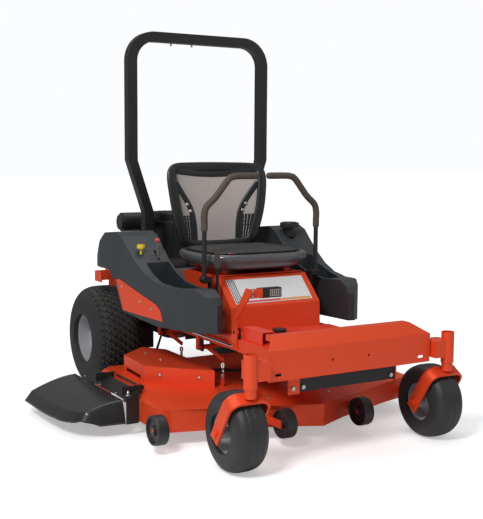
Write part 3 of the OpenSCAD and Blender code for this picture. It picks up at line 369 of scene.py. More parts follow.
def node_finishes():
    """CAD node to finish, for nodes whose own shape stays in view."""
    chosen = {}
    for finish, nodes in (
        ("orange_paint", "frame_rails front_frame front_beam rear_guard console badge_panels "
                         "caster_fork_right caster_fork_left seat_plate deck_shell belt_covers lift_pedal "
                         "lift_shaft_front lift_shaft_rear"),
        ("floor_paint", "floor_pan"),
        ("black_paint", "rops engine_plate chassis_brackets lap_lever_right lap_lever_left chute_bracket"),
        ("brake_grip", "brake_lever"),
        ("fender_moulding", "fender_right fender_left"),
        ("black_moulding", "engine_shroud air_cleaner fuel_cap"),
        ("rim_paint", "rear_rim_right rear_rim_left caster_rim_right caster_rim_left"),
        ("roller_rubber", "roller_outer_right roller_inner_right roller_inner_left roller_outer_left"),
        ("zinc_steel", "chassis_bolts muffler engine_shaft spindle_right spindle_centre spindle_left throttle_lever"),
        ("bright_chrome", "lift_rod lift_chains"),
        ("cast_metal", "engine_block"),
        ("drive_paint", "transaxles spindle_housings"),
        ("knob_yellow", "pto_knob"),
        ("belt_cord", "deck_belt"),
    ):
        for node in nodes.split():
            chosen[node] = finish
    return chosen


# ---- operators ----
class MOWER_OT_finishes(bpy.types.Operator):
    """Make every finish and put it on the frame's own nodes"""

    bl_idname = "mower.finishes"
    bl_label = "Finishes"

    def execute(self, context):
        look = context.scene.mower_finish
        paint, moulding, grip, rim = (tuple(c) for c in (look.paint, look.moulding, look.grip, look.rim))
        brake_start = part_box("brake_lever")[1].z - 0.09
        build_groups()
        gloss = dict(coat=0.35, grain=420, bump=0.04, blotch=0.05, round_edge=0.002, wear=0.1,
                     worn=(0.4, 0.08, 0.04), dust=0.012)
        finish_material("orange_paint", paint, 0.27, **gloss)
        finish_material("floor_paint", paint, 0.42, coat=0.1, grain=180, bump=0.25, wear=0.25, dust=0.14)
        finish_material("black_paint", (0.012, 0.012, 0.013), 0.25, coat=0.5, grain=300, bump=0.05, wear=0.15,
                        dust=0.03)
        finish_material("grip_foam", grip, 0.72, grain=900, bump=0.5, blotch=0.2)
        finish_material("brake_grip", (0.014, 0.014, 0.014), 0.45, grain=500, bump=0.2, second=(grip, 2, brake_start))
        finish_material("fender_moulding", moulding, 0.48, grain=1400, bump=0.22, blotch=0.1, round_edge=0.005,
                        wear=0.05,
                        worn=(0.11, 0.12, 0.13), dust=0.07)
        finish_material("black_moulding", (0.011, 0.011, 0.012), 0.42, grain=1200, bump=0.2, round_edge=0.003,
                        dust=0.03)
        finish_material("rim_paint", rim, 0.4, metallic=0.25, coat=0.15, grain=500, bump=0.06, round_edge=0.003,
                        wear=0.1, dust=0.05)
        finish_material("turf_rubber", (0.016, 0.0155, 0.015), 0.74, grain=650, bump=0.35, blotch=0.25,
                        round_edge=0.002, dust=0.14)
        finish_material("caster_rubber", (0.021, 0.021, 0.022), 0.5, grain=800, bump=0.2, blotch=0.15,
                        round_edge=0.003, dust=0.05)
        finish_material("roller_rubber", (0.024, 0.024, 0.026), 0.42, grain=900, bump=0.14, round_edge=0.006,
                        dust=0.05)
        finish_material("chute_moulding", (0.011, 0.011, 0.0125), 0.3, coat=0.15, grain=1000, bump=0.12,
                        round_edge=0.003, dust=0.04)
        finish_material("belt_cord", (0.02, 0.02, 0.02), 0.8, grain=900, bump=0.4, weave=0.004)
        finish_material("zinc_steel", (0.60, 0.59, 0.56), 0.32, metallic=0.95, grain=300, bump=0.1, blotch=0.2,
                        dust=0.05)
        finish_material("bright_chrome", (0.82, 0.82, 0.83), 0.12, metallic=1.0, grain=200, bump=0.02, blotch=0.06,
                        dust=0.02)
        finish_material("cast_metal", (0.36, 0.36, 0.37), 0.5, metallic=0.7, grain=240, bump=0.6, blotch=0.2,
                        round_edge=0.003, dust=0.12)
        finish_material("drive_paint", (0.03, 0.03, 0.032), 0.5, grain=240, bump=0.5, round_edge=0.003, dust=0.12)
        finish_material("seat_vinyl", (0.085, 0.09, 0.097), 0.27, coat=0.3, grain=1100, bump=0.16, blotch=0.1,
                        dust=0.02)
        finish_material("seat_frame", (0.012, 0.0125, 0.013), 0.4, grain=1300, bump=0.14, blotch=0.1,
                        round_edge=0.003, dust=0.03)
        finish_material("seat_weave", (0.017, 0.0145, 0.0135), 0.88, grain=900, bump=0.8, blotch=0.15, weave=0.006,
                        sheen=0.06, dust=0.01)
        finish_material("seat_net", (0.15, 0.13, 0.125), 0.8, grain=900, bump=0.4,
                        weave=context.scene.mower_sizes.net_cell, holes=True, dust=0.02)
        finish_material("knob_yellow", (0.72, 0.52, 0.02), 0.35, coat=0.2, grain=600, bump=0.06, dust=0.04)
        finish_material("plate_white", (0.74, 0.75, 0.76), 0.4, coat=0.2, grain=500, bump=0.03, blotch=0.05,
                        dust=0.03)
        finish_material("plate_grey", (0.12, 0.12, 0.125), 0.4, grain=500, bump=0.03, blotch=0.1)
        finish_material("plate_red", (0.62, 0.07, 0.08), 0.4, grain=500, bump=0.03, blotch=0.05)
        finish_material("plate_amber", (0.75, 0.33, 0.06), 0.4, grain=500, bump=0.03, blotch=0.05)
        for node, finish in node_finishes().items():
            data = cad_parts[node].data
            data.materials.clear()
            data.materials.append(bpy.data.materials[finish])
        return {"FINISHED"}


def tyre_profile(rim_r, outer_r, width, tread_share, tread_steps, wall_steps):
    """Points (radius, offset, tread) across a tyre, from bead to bead; tread is 1 on the crown."""
    fine = []
    for i in range(721):
        a = math.pi * i / 720
        c, s = math.cos(a), math.sin(a)
        fine.append((rim_r + (outer_r - rim_r) * s ** 0.62 if s > 1e-9 else rim_r,
                     width / 2 * math.copysign(abs(c) ** 0.62, c)))
    edge = width / 2 * tread_share
    def along(points, steps):
        length = [0.0]
        for p, q in zip(points, points[1:]):
            length.append(length[-1] + math.hypot(q[0] - p[0], q[1] - p[1]))
        out, k = [], 0
        for i in range(steps):
            goal = length[-1] * i / steps
            while length[k + 1] < goal:
                k += 1
            t = (goal - length[k]) / max(length[k + 1] - length[k], 1e-9)
            out.append(tuple(points[k][d] + (points[k + 1][d] - points[k][d]) * t for d in (0, 1)))
        return out
    first = [p for p in fine if p[1] >= edge]
    crown = [p for p in fine if -edge <= p[1] <= edge]
    last = [p for p in fine if p[1] <= -edge]
    return ([(*p, 0) for p in along(first, wall_steps)] + [(*p, 1) for p in along(crown, tread_steps)]
            + [(*p, 0) for p in along(last, wall_steps)] + [(rim_r, -width / 2, 0)])


def build_tyre(name, node, body, material, steps, profile, cut):
    """A tyre about the X axis whose crown is lowered by cut(angle, offset)."""
    low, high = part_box(node)
    centre = (low + high) / 2
    rows = []
    for i in range(steps):
        a = 2 * math.pi * i / steps
        row = []
        for radius, offset, tread in profile:
            r = radius - (cut(a, offset) if tread else 0.0)
            row.append(Vector((centre.x + offset, centre.y + r * math.cos(a), centre.z + r * math.sin(a))))
        rows.append(row)
    bm = bmesh.new()
    loft(bm, rows, wrap=True)
    ob = piece(name, bm, body, material, sharp=50)
    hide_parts(node)
    return ob


class MOWER_OT_tyres(bpy.types.Operator):
    """Build the turf tyres, the ribbed caster tyres and the small wheel parts"""

    bl_idname = "mower.tyres"
    bl_label = "Tyres"

    def execute(self, context):
        sizes = context.scene.mower_sizes
        row_pitch = 0.027

        def turf(angle, offset):
            row = math.floor(offset / row_pitch + 0.5)
            across = offset / row_pitch + 0.5 - row
            phase = angle * sizes.lug_count / (2 * math.pi) + 0.2 * math.sin(2 * math.pi * across) + 0.5 * (row % 2)
            block = 0.1 < across < 0.9 and phase % 1.0 < 0.66
            return 0.0 if block else sizes.lug_depth

        def ribs(angle, offset):
            return 0.0022 * max(0.0, math.cos(2 * math.pi * offset / 0.03) - 0.55) / 0.45

        for side, sign in SIDES:
            low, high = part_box(f"rear_tyre_{side}")
            rim_r = (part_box(f"rear_rim_{side}")[1].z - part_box(f"rear_rim_{side}")[0].z) / 2
            outline = tyre_profile(rim_r, (high.z - low.z) / 2, high.x - low.x, 0.86, 80, 12)
            build_tyre(f"turf_tyre_{side}", f"rear_tyre_{side}", f"rear_wheel_{side}",
                       "turf_rubber", sizes.lug_count * 10, outline, turf)
            low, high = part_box(f"caster_tyre_{side}")
            rim_r = (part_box(f"caster_rim_{side}")[1].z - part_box(f"caster_rim_{side}")[0].z) / 2
            outline = tyre_profile(rim_r, (high.z - low.z) / 2, high.x - low.x, 0.7, 48, 12)
            build_tyre(f"ribbed_tyre_{side}", f"caster_tyre_{side}", f"caster_wheel_{side}", "caster_rubber", 144,
                       outline, ribs)
            self.valve(side, sign)
        return {"FINISHED"}

    def valve(self, side, sign):
        """A tyre valve and a hub cap on the outer face of a rear rim."""
        tyre_low, tyre_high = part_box(f"rear_tyre_{side}")
        y, z = (tyre_low.y + tyre_high.y) / 2, (tyre_low.z + tyre_high.z) / 2
        disc_x = (tyre_low.x + tyre_high.x) / 2 + sign * 0.03
        bm = bmesh.new()
        turned(bm, (disc_x, y + 0.07, z + 0.07), (sign, 0, 0), [(0.005, 0), (0.005, 0.02), (0.004, 0.022),
                (0.004, 0.032), (0.0, 0.033)], 16)
        piece(f"valve_{side}", bm, f"rear_wheel_{side}", "black_moulding")
        bm = bmesh.new()
        turned(bm, (disc_x, y, z), (sign, 0, 0), [(0.034, 0), (0.034, 0.03), (0.030, 0.036), (0.018, 0.040),
                                                  (0.0, 0.041)], 40)
        piece(f"hub_cap_{side}", bm, f"rear_wheel_{side}", "rim_paint")


def rim_outline(half_wide, half_deep, power, count):
    """A soft rectangle round the origin."""
    out = []
    for i in range(count):
        a = 2 * math.pi * i / count
        c, s = math.cos(a), math.sin(a)
        out.append((half_wide * math.copysign(abs(c) ** power, c), half_deep * math.copysign(abs(s) ** power, s)))
    return out


class MOWER_OT_seat(bpy.types.Operator):
    """Build the cushion, its vinyl rim, and the backrest with its net and struts"""

    bl_idname = "mower.seat"
    bl_label = "Seat"

    def execute(self, context):
        self.rim(context)
        self.cushion(context)
        self.back(context)
        return {"FINISHED"}

    def rim(self, context):
        """The rounded vinyl rim that holds the cushion."""
        low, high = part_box("seat_shell")
        cx, cy = (low.x + high.x) / 2, (low.y + high.y) / 2
        wide, deep = (high.x - low.x) / 2, (high.y - low.y) / 2
        floor_z = low.z + 0.0075
        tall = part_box("seat_cushion")[1].z - 0.012 - floor_z
        rings = []
        for inset, height in ((0.09, 0.0), (0.045, 0.003), (0.018, 0.014), (0.004, 0.032), (0.0, 0.046),
                              (0.002, 0.056),
                              (0.008, 0.062), (0.015, 0.0635), (0.021, 0.061), (0.024, 0.054), (0.025, 0.038)):
            rings.append([Vector((cx + x, cy + y, floor_z + height * tall / 0.0625))
                          for x, y in rim_outline(wide - inset, deep - inset, 0.55, 96)])
        bm = bmesh.new()
        loft(bm, rings)
        for sign in (-1, 1):
            slab(bm, (cx + sign * 0.175 - 0.019, cy - 0.13, low.z),
                 (cx + sign * 0.175 + 0.019, cy + 0.11, floor_z + 0.004))
        ob = piece("seat_rim", bm, "seat", "seat_vinyl", sharp=60)
        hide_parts("seat_shell")

    def cushion(self, context):
        """The woven pad, swollen by pressure, with a welt round it."""
        low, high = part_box("seat_cushion")
        cx, cy = (low.x + high.x) / 2, (low.y + high.y) / 2
        shell_low, shell_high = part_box("seat_shell")
        wide, deep = (shell_high.x - shell_low.x) / 2 - 0.026, (shell_high.y - shell_low.y) / 2 - 0.026
        base, top = low.z + 0.004, high.z - 0.008
        rings = []
        for inset, z in ((0.02, base), (0.0, base + 0.008), (0.0, top - 0.008), (0.012, top - 0.001), (0.05, top)):
            rings.append([Vector((cx + x, cy + y, z)) for x, y in rim_outline(wide - inset, deep - inset, 0.55, 64)])
        bm = bmesh.new()
        loft(bm, rings)
        ob = piece("seat_pad", bm, "seat", "seat_weave", sharp=180)
        inflate(ob, 0.006, context.scene.mower_sizes.cushion_crown, base + 0.004)
        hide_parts("seat_cushion")
        welt = [(cx + x, cy + y, top + 0.002) for x, y in rim_outline(wide - 0.004, deep - 0.004, 0.55, 96)]
        bm = bmesh.new()
        sweep(bm, welt, 0.0035, 0.0035, 10, closed=True, flat_axis=(0, 0, 1))
        piece("seat_welt", bm, "seat", "seat_frame")
        bm = bmesh.new()
        tag_x, tag_y, tag_z = cx - 0.19, low.y + 0.03, high.z - 0.004
        for k in (0, 1):
            slab(bm, (tag_x, tag_y - k * 0.006, tag_z - 0.002), (tag_x + 0.045, tag_y - k * 0.006 + 0.005,
                    tag_z + 0.0006), k)
        piece("seat_tag", bm, "seat", ["plate_white", "plate_red"])

    def back(self, context):
        """The backrest: an outer frame that curves forward at its sides, two struts and the net."""
        low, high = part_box("seat_back_frame")
        net_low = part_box("seat_mesh")[0]
        cx = (low.x + high.x) / 2
        half = (high.x - low.x) / 2
        foot = Vector((cx, net_low.y - 0.006, net_low.z - 0.034))
        rise = high.z - foot.z
        lean = math.radians(7)

        def on_back(x, h, forward=0.0):
            """A point x from the middle and h up the back's face."""
            wing = 0.075 * (abs(x) / half) ** 2.6
            lumbar = 0.012 * math.sin(math.pi * min(max(h / rise, 0), 1))
            return foot + Vector((x, math.sin(lean) * h + 0.012 - wing - lumbar - forward, math.cos(lean) * h))

        half_path = [(0.0, 0.414), (0.11, 0.413), (0.215, 0.410), (0.252, 0.396), (0.263, 0.36), (0.259, 0.30),
                     (0.244, 0.20),
                     (0.218, 0.10), (0.185, 0.03), (0.09, 0.012)]
        outline = half_path + [(0.0, 0.010)] + [(-x, h) for x, h in reversed(half_path[1:])]
        path = [on_back(p.x, p.y) for p in smooth_path([(x, h, 0) for x, h in outline], 6, closed=True)]
        bm = bmesh.new()
        sweep(bm, path, 0.027, 0.013, 20, closed=True, flat_axis=(0, 1, 0.12))
        brow = [on_back(x, 0.375 + 0.022 * (x / 0.24) ** 2, -0.001) for x in (-0.24, -0.16, -0.08, 0, 0.08, 0.16,
                0.24)]
        sweep(bm, smooth_path(brow, 5), 0.019, 0.009, 16, flat_axis=(0, 1, 0.12))
        for sign in (-1, 1):
            strut = [(0.248, 0.33), (0.20, 0.265), (0.158, 0.20), (0.14, 0.13), (0.135, 0.06), (0.135, 0.0)]
            line = smooth_path([on_back(sign * x, h, -0.004) for x, h in strut], 6)
            sweep(bm, line, 0.025, 0.009, 16, flat_axis=(0, 1, 0.12))
            web = []
            for k in range(9):
                h = 0.015 + 0.155 * k / 8
                across = [0.13 + (0.19 + 0.045 * k / 8 - 0.13) * j / 6 for j in range(7)]
                web.append([on_back(sign * x, h, 0.002) for x in across] + [on_back(sign * x, h,
                        -0.006) for x in reversed(across)])
            loft(bm, web)
            leg_x = cx + sign * 0.1175
            leg = [(leg_x, high.y - 0.16, low.z + 0.003), (leg_x, high.y - 0.10, low.z + 0.003),
                   (leg_x, high.y - 0.075, low.z + 0.02), (leg_x, high.y - 0.068, low.z + 0.07),
                   (leg_x, high.y - 0.062, low.z + 0.14)]
            sweep(bm, smooth_path(leg, 6), 0.022, 0.0045, 14, flat_axis=(0, 0.5, 0.5))
        ob = piece("back_frame", bm, "seat", "seat_frame", sharp=60)
        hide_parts("seat_back_frame")
        rings = []
        for j in range(41):
            h = 0.006 + 0.408 * j / 40
            reach = 0.185 + 0.075 * math.sin(min(h / 0.30, 1.0) * math.pi / 2) - max(0.0, h - 0.36) * 0.4
            rings.append([on_back(reach * (2 * i / 60 - 1), h, 0.002) for i in range(61)])
        bm = bmesh.new()
        loft(bm, rings, closed=False)
        ob = piece("back_net", bm, "seat", "seat_net", sharp=180)
        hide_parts("seat_mesh")
        bm = bmesh.new()
        for sign in (-1, 1):
            for h in (0.19, 0.225):
                turned(bm, on_back(sign * (0.153 + (h - 0.19) * 0.55), h, 0.005), (0, -1, 0),
                       [(0.009, 0), (0.009, 0.003), (0.006, 0.006), (0, 0.007)], 20)
        piece("back_bolts", bm, "seat", "zinc_steel")


def inflate(ob, voxel, limit, floor_z):
    """Swells a closed pad by cloth pressure; no point moves further than limit, and the base stays flat."""
    scene = bpy.context.scene
    remesh = ob.modifiers.new("Remesh", "REMESH")
    remesh.mode, remesh.voxel_size, remesh.use_smooth_shade = "VOXEL", voxel, True
    apply_stack(ob)
    rest = [v.co.copy() for v in ob.data.vertices]
    cloth = ob.modifiers.new("Cloth", "CLOTH")
    cloth.settings.use_pressure = True
    cloth.settings.uniform_pressure_force = 4
    cloth.settings.effector_weights.gravity = 0
    cloth.settings.quality = 5
    for step in range(1, 21):
        scene.frame_set(step)
    apply_stack(ob)
    scene.frame_set(1)
    for vertex, start in zip(ob.data.vertices, rest):
        move = Vector((0, 0, vertex.co.z - start.z))
        if move.length > limit:
            move *= limit / move.length
        if start.z < floor_z:
            move = Vector((0, 0, 0))
        vertex.co = start + move
    ob.data.shade_smooth()
    mod = ob.modifiers.new("Smoothing", "SUBSURF")
    mod.levels = mod.render_levels = 1


def apply_stack(ob):
    """Writes the evaluated mesh into the object and removes its modifiers."""
    graph = bpy.context.evaluated_depsgraph_get()
    mesh = bpy.data.meshes.new_from_object(ob.evaluated_get(graph))
    ob.modifiers.clear()
    ob.data = mesh


class MOWER_OT_chute(bpy.types.Operator):
    """Build the flexible discharge chute and its fittings"""

    bl_idname = "mower.chute"
    bl_label = "Chute"

    def execute(self, context):
        low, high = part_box("chute_rubber")
        seam = high.x
        wide = high.x - low.x
        front, back = low.y, high.y
        top = high.z
        edge = [(0.0, 0.43), (0.05, 0.72), (0.16, 0.86), (0.38, 0.95), (0.7, 0.995), (1.0, 1.0)]

        def reach(t):
            for (a, ra), (b, rb) in zip(edge, edge[1:]):
                if t <= b:
                    k = (t - a) / (b - a)
                    return ra + (rb - ra) * math.sin(k * math.pi / 2) ** 0.9
            return 1.0

        def sheet_at(s, t):
            """s runs outwards from the seam, t from front to back."""
            x = seam - wide * reach(t) * s
            fall = (seam - x) / wide
            z = top - 0.012 - 0.078 * fall ** 1.7 - 0.028 * max(0.0, s - 0.86) / 0.14
            skirt = max(0.0, 1 - t / 0.07)
            y = front + 0.006 + (back - front - 0.012) * t
            y += 0.07 * math.sin(fall * math.pi / 2) * max(0.0, 1 - t) ** 6 * 0.3
            z = z * (1 - skirt ** 1.6) + (low.z + 0.02) * skirt ** 1.6
            return Vector((x, y, max(z, low.z + 0.006)))

        bm = bmesh.new()
        loft(bm, [[sheet_at(i / 36, (j / 64) ** 1.3) for i in range(37)] for j in range(65)], closed=False)
        ob = piece("chute_sheet", bm, "chute", "chute_moulding", sharp=70)
        solid = ob.modifiers.new("Thickness", "SOLIDIFY")
        solid.thickness, solid.offset = 0.006, -1
        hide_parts("chute_rubber")

        bm = bmesh.new()
        cone = (seam + 0.022, front + 0.03, top + 0.0095)
        turned(bm, cone, (0, 0, 1), [(0.014, 0), (0.014, 0.003), (0.010, 0.004), (0.008, 0.014), (0.003, 0.022),
                                     (0, 0.023)], 24)
        for y in (0.2, 0.5, 0.8):
            turned(bm, (seam + 0.004, front + (back - front) * y, top + 0.0005), (0, 0, 1),
                   [(0.007, 0), (0.006, 0.003), (0, 0.005)], 16)
        piece("chute_fixings", bm, "chute", "zinc_steel")
        return {"FINISHED"}


class MOWER_OT_console(bpy.types.Operator):
    """Build the plain instruction plate and the pedal pad"""

    bl_idname = "mower.console"
    bl_label = "Console"

    def execute(self, context):
        low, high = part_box("console")
        half = (high.x - low.x) / 2
        bottom = Vector((0, low.y + 0.008, low.z + 0.119))
        top = Vector((0, low.y + 0.136, high.z))
        up = (top - bottom).normalized()
        out = Vector((0, -up.z, up.y))
        length = (top - bottom).length

        def patch(bm, u0, u1, v0, v1, lift, mat):
            """A thin plate on the sloping panel; u runs across and v up, both from 0 to 1."""
            corners = [(u0, v0), (u1, v0), (u1, v1), (u0, v1)]
            rings = []
            for height in (lift, lift + 0.0006):
                rings.append([Vector((CENTRE_X - half + 2 * half * u, 0,
                                      0)) + bottom + up * length * v + out * height for u, v in corners])
            loft(bm, rings, mat=mat)

        bm = bmesh.new()
        patch(bm, 0.075, 0.935, 0.1, 0.9, 0.0002, 0)
        patch(bm, 0.083, 0.155, 0.13, 0.88, 0.0009, 1)
        for k in range(3):
            patch(bm, 0.093 + k * 0.02, 0.103 + k * 0.02, 0.16, 0.85, 0.0016, 0)
        patch(bm, 0.17, 0.57, 0.125, 0.185, 0.0009, 2)
        patch(bm, 0.57, 0.92, 0.125, 0.185, 0.0009, 3)
        piece("console_plate", bm, "chassis", ["plate_white", "plate_grey", "plate_red",
                "plate_amber"])

        low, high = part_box("lift_pedal")
        pad_low = Vector((high.x - 0.108, low.y + 0.0225, high.z - 0.0465))
        pad_high = Vector((high.x + 0.0015, low.y + 0.0555, high.z - 0.0035))
        bm = bmesh.new()
        slab(bm, pad_low, pad_high)
        for k in range(5):
            x = pad_low.x + 0.052 + k * 0.011
            slab(bm, (x, pad_low.y - 0.0025, pad_low.z + 0.008), (x + 0.005, pad_low.y + 0.001, pad_high.z - 0.008))
        piece("pedal_pad", bm, "lift_pedal_body", "black_moulding", bevel=0.004)
        bm = bmesh.new()
        slab(bm, (pad_low.x + 0.048, pad_low.y - 0.0012, pad_low.z + 0.006),
             (pad_high.x - 0.006, pad_low.y + 0.002, pad_high.z - 0.006))
        for down in (0.012, 0.036):
            place, facing = touch("lift_pedal", (low.x + 0.02, low.y - 0.3, high.z - down), (0, 1, 0))
            add_bolt(bm, place, facing, 0.006)
        piece("pedal_face", bm, "lift_pedal_body", "zinc_steel")
        return {"FINISHED"}
        return {"FINISHED"}


def add_bolt(bm, centre, axis, radius, washer=True):
    """A hex head on a washer."""
    height = radius * 0.65
    if washer:
        turned(bm, centre, axis, [(radius * 1.35, 0), (radius * 1.35, 0.0016)], 24)
    turned(bm, Vector(centre) + Vector(axis).normalized() * 0.0014, axis,
           [(radius, 0), (radius, height), (radius * 0.86, height + 0.0012)], 6)


class MOWER_OT_hardware(bpy.types.Operator):
    """Build the control bars, bolts, screws and other fittings"""

    bl_idname = "mower.hardware"
    bl_label = "Hardware"

    def execute(self, context):
        self.lap_bars()
        self.deck_bolts()
        self.fender_details()
        self.chassis_details()
        return {"FINISHED"}

    def lap_bars(self):
        """The bent control bars with their foam grips."""
        for side, sign in SIDES:
            low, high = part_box(f"lap_bar_{side}")
            y = (low.y + high.y) / 2
            outer, inner = (low.x + BOSS_R, high.x) if sign < 0 else (high.x - BOSS_R, low.x)
            hinge, top = low.z + BOSS_R, high.z - GRIP_BEND_R
            bm = bmesh.new()
            turned(bm, (outer, low.y, hinge), (0, 1, 0), [(0.015, 0), (BOSS_R, 0.003),
                    (BOSS_R, high.y - low.y - 0.003), (0.015, high.y - low.y)], 32)
            sweep(bm, [(outer, y, hinge + 0.01), (outer, y, hinge + 0.12), (outer, y, hinge + 0.23)], TUBE_R,
                  TUBE_R, 24, flat_axis=(0, 1, 0))
            bend = [(0, hinge + 0.222), (0, hinge + 0.26), (0, hinge + 0.30), (0.012, hinge + 0.338),
                    (0.06, hinge + 0.382),
                    (0.125, top - 0.018), (0.155, top - 0.003), (0.19, top)]
            points = [(outer - sign * x, y, z) for x, z in bend] + [(inner + sign * 0.05, y, top),
                    (inner + sign * 0.0005, y, top)]
            line = smooth_path(points, 8)
            ends = [0.55, 0.85, 0.97]
            taper = ends + [1.0] * (len(line) - 6) + ends[::-1]
            sweep(bm, line, GRIP_R, GRIP_R, 28, flat_axis=(0, 1, 0), taper=taper, mat=1)
            ob = piece(f"control_bar_{side}", bm, f"control_bar_{side}",
                       ["black_paint", "grip_foam"], sharp=45)
            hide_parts(f"lap_bar_{side}")

    def deck_bolts(self):
        """Screws on the belt covers' front faces and tops, and carriage bolts on the deck."""
        low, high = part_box("belt_covers")
        middle = (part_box("deck_shell")[0].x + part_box("deck_shell")[1].x) / 2
        bm = bmesh.new()
        for sign in (-1, 1):
            cx = (low.x + 0.13) if sign < 0 else (high.x - 0.13)
            for dx in (-0.075, 0.06):
                place, facing = touch("belt_covers", (cx + dx, low.y - 0.5, (low.z + high.z) / 2), (0, 1, 0))
                turned(bm, place, facing, [(0.010, -0.001), (0.009, 0.003), (0.006, 0.0055), (0, 0.0065)], 24)
            for back in (0.339, 0.509):
                place, facing = touch("belt_covers", (cx, low.y + back, high.z + 0.3), (0, 0, -1))
                turned(bm, place, facing, [(0.008, 0), (0.007, 0.003), (0, 0.0045)], 20)
        deck_low, deck_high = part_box("deck_shell")
        for dx in (-0.16, 0.14):
            place, facing = touch("deck_shell", (middle + dx, deck_low.y - 0.5, deck_high.z - 0.045), (0, 1, 0))
            turned(bm, place, facing, [(0.009, -0.001), (0.008, 0.003), (0, 0.006)], 24)
        piece("cover_screws", bm, "deck", "zinc_steel")

    def fender_details(self):
        """Badge screws on the fenders, ribs on the fuel cap, a cap on the blade clutch knob and a tip on the
        throttle.
        """
        bm = bmesh.new()
        for side, sign in SIDES:
            low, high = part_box(f"fender_{side}")
            outer = low.x if sign < 0 else high.x
            badge_low, badge_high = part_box("badge_panels")
            for along, up in ((0.22, 0.30), (0.45, 0.45), (0.86, 0.78)):
                start = (outer + sign * 0.3, badge_low.y + (badge_high.y - badge_low.y) * along,
                         badge_low.z + (badge_high.z - badge_low.z) * up)
                place, facing = touch("badge_panels", start, (-sign, 0, 0))
                turned(bm, place, facing, [(0.007, -0.002), (0.007, 0.002), (0.004, 0.0045), (0, 0.005)], 18)
        piece("badge_screws", bm, "chassis", "zinc_steel")
        knob_low, knob_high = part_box("pto_knob")
        lever_low, lever_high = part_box("throttle_lever")
        cap_low, cap_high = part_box("fuel_cap")
        bm = bmesh.new()
        cx, cy = (cap_low.x + cap_high.x) / 2, (cap_low.y + cap_high.y) / 2
        r = (cap_high.x - cap_low.x) / 2
        for k in range(24):
            a = 2 * math.pi * k / 24
            turned(bm, (cx + (r - 0.001) * math.cos(a), cy + (r - 0.001) * math.sin(a), cap_high.z - 0.021),
                   (0, 0, 1),
                   [(0.0028, 0), (0.0028, 0.017), (0.001, 0.019)], 8)
        turned(bm, (cx, cy, cap_high.z - 0.0002), (0, 0, 1), [(r - 0.008, 0), (r - 0.012, 0.004), (0, 0.005)], 40)
        piece("cap_ribs", bm, "tank_cap", "black_moulding")
        bm = bmesh.new()
        kx, ky = (knob_low.x + knob_high.x) / 2, (knob_low.y + knob_high.y) / 2
        kr = (knob_high.x - knob_low.x) / 2
        turned(bm, (kx, ky, knob_high.z - 0.0202), (0, 0, 1),
               [(kr * 0.7, 0), (kr + 0.001, 0.004), (kr + 0.0015, 0.013), (kr * 0.8, 0.0195), (0, 0.0215)], 32)
        piece("knob_cap", bm, "blade_clutch_knob", "knob_yellow")
        bm = bmesh.new()
        tx, ty = (lever_low.x + lever_high.x) / 2, (lever_low.y + lever_high.y) / 2
        turned(bm, (tx - 0.011, ty, lever_high.z - 0.009), (1, 0, 0),
               [(0.004, 0), (0.0105, 0.003), (0.0105, 0.019), (0.004, 0.022)], 24)
        piece("throttle_tip", bm, "throttle", "plate_red")

    def chassis_details(self):
        """Bolt heads on the console and the engine's intake grille."""
        low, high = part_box("console")
        bm = bmesh.new()
        for sign in (-1, 1):
            for dz in (0.05, 0.10):
                for dy in (-0.02, 0.02):
                    start = (CENTRE_X + sign, (low.y + high.y) / 2 + dy, low.z + dz)
                    place, facing = touch("console", start, (-sign, 0, 0))
                    add_bolt(bm, place, facing, 0.006)
        piece("console_bolts", bm, "chassis", "zinc_steel", sharp=30)
        shroud_low, shroud_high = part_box("engine_shroud")
        cx, cy = (shroud_low.x + shroud_high.x) / 2, (shroud_low.y + shroud_high.y) / 2
        bm = bmesh.new()
        for k in range(9):
            r = 0.02 + k * 0.014
            sweep(bm, [(cx + r * math.cos(a), cy + r * math.sin(a), shroud_high.z + 0.001)
                       for a in (2 * math.pi * i / 48 for i in range(48))], 0.002, 0.002, 8, closed=True,
                       flat_axis=(0, 0, 1))
        for k in range(12):
            a = math.pi * k / 12
            d = Vector((math.cos(a), math.sin(a), 0)) * 0.132
            c = Vector((cx, cy, shroud_high.z + 0.003))
            sweep(bm, [c - d, c, c + d], 0.0015, 0.0015, 8, flat_axis=(0, 0, 1))
        piece("intake_grille", bm, "chassis", "black_moulding")


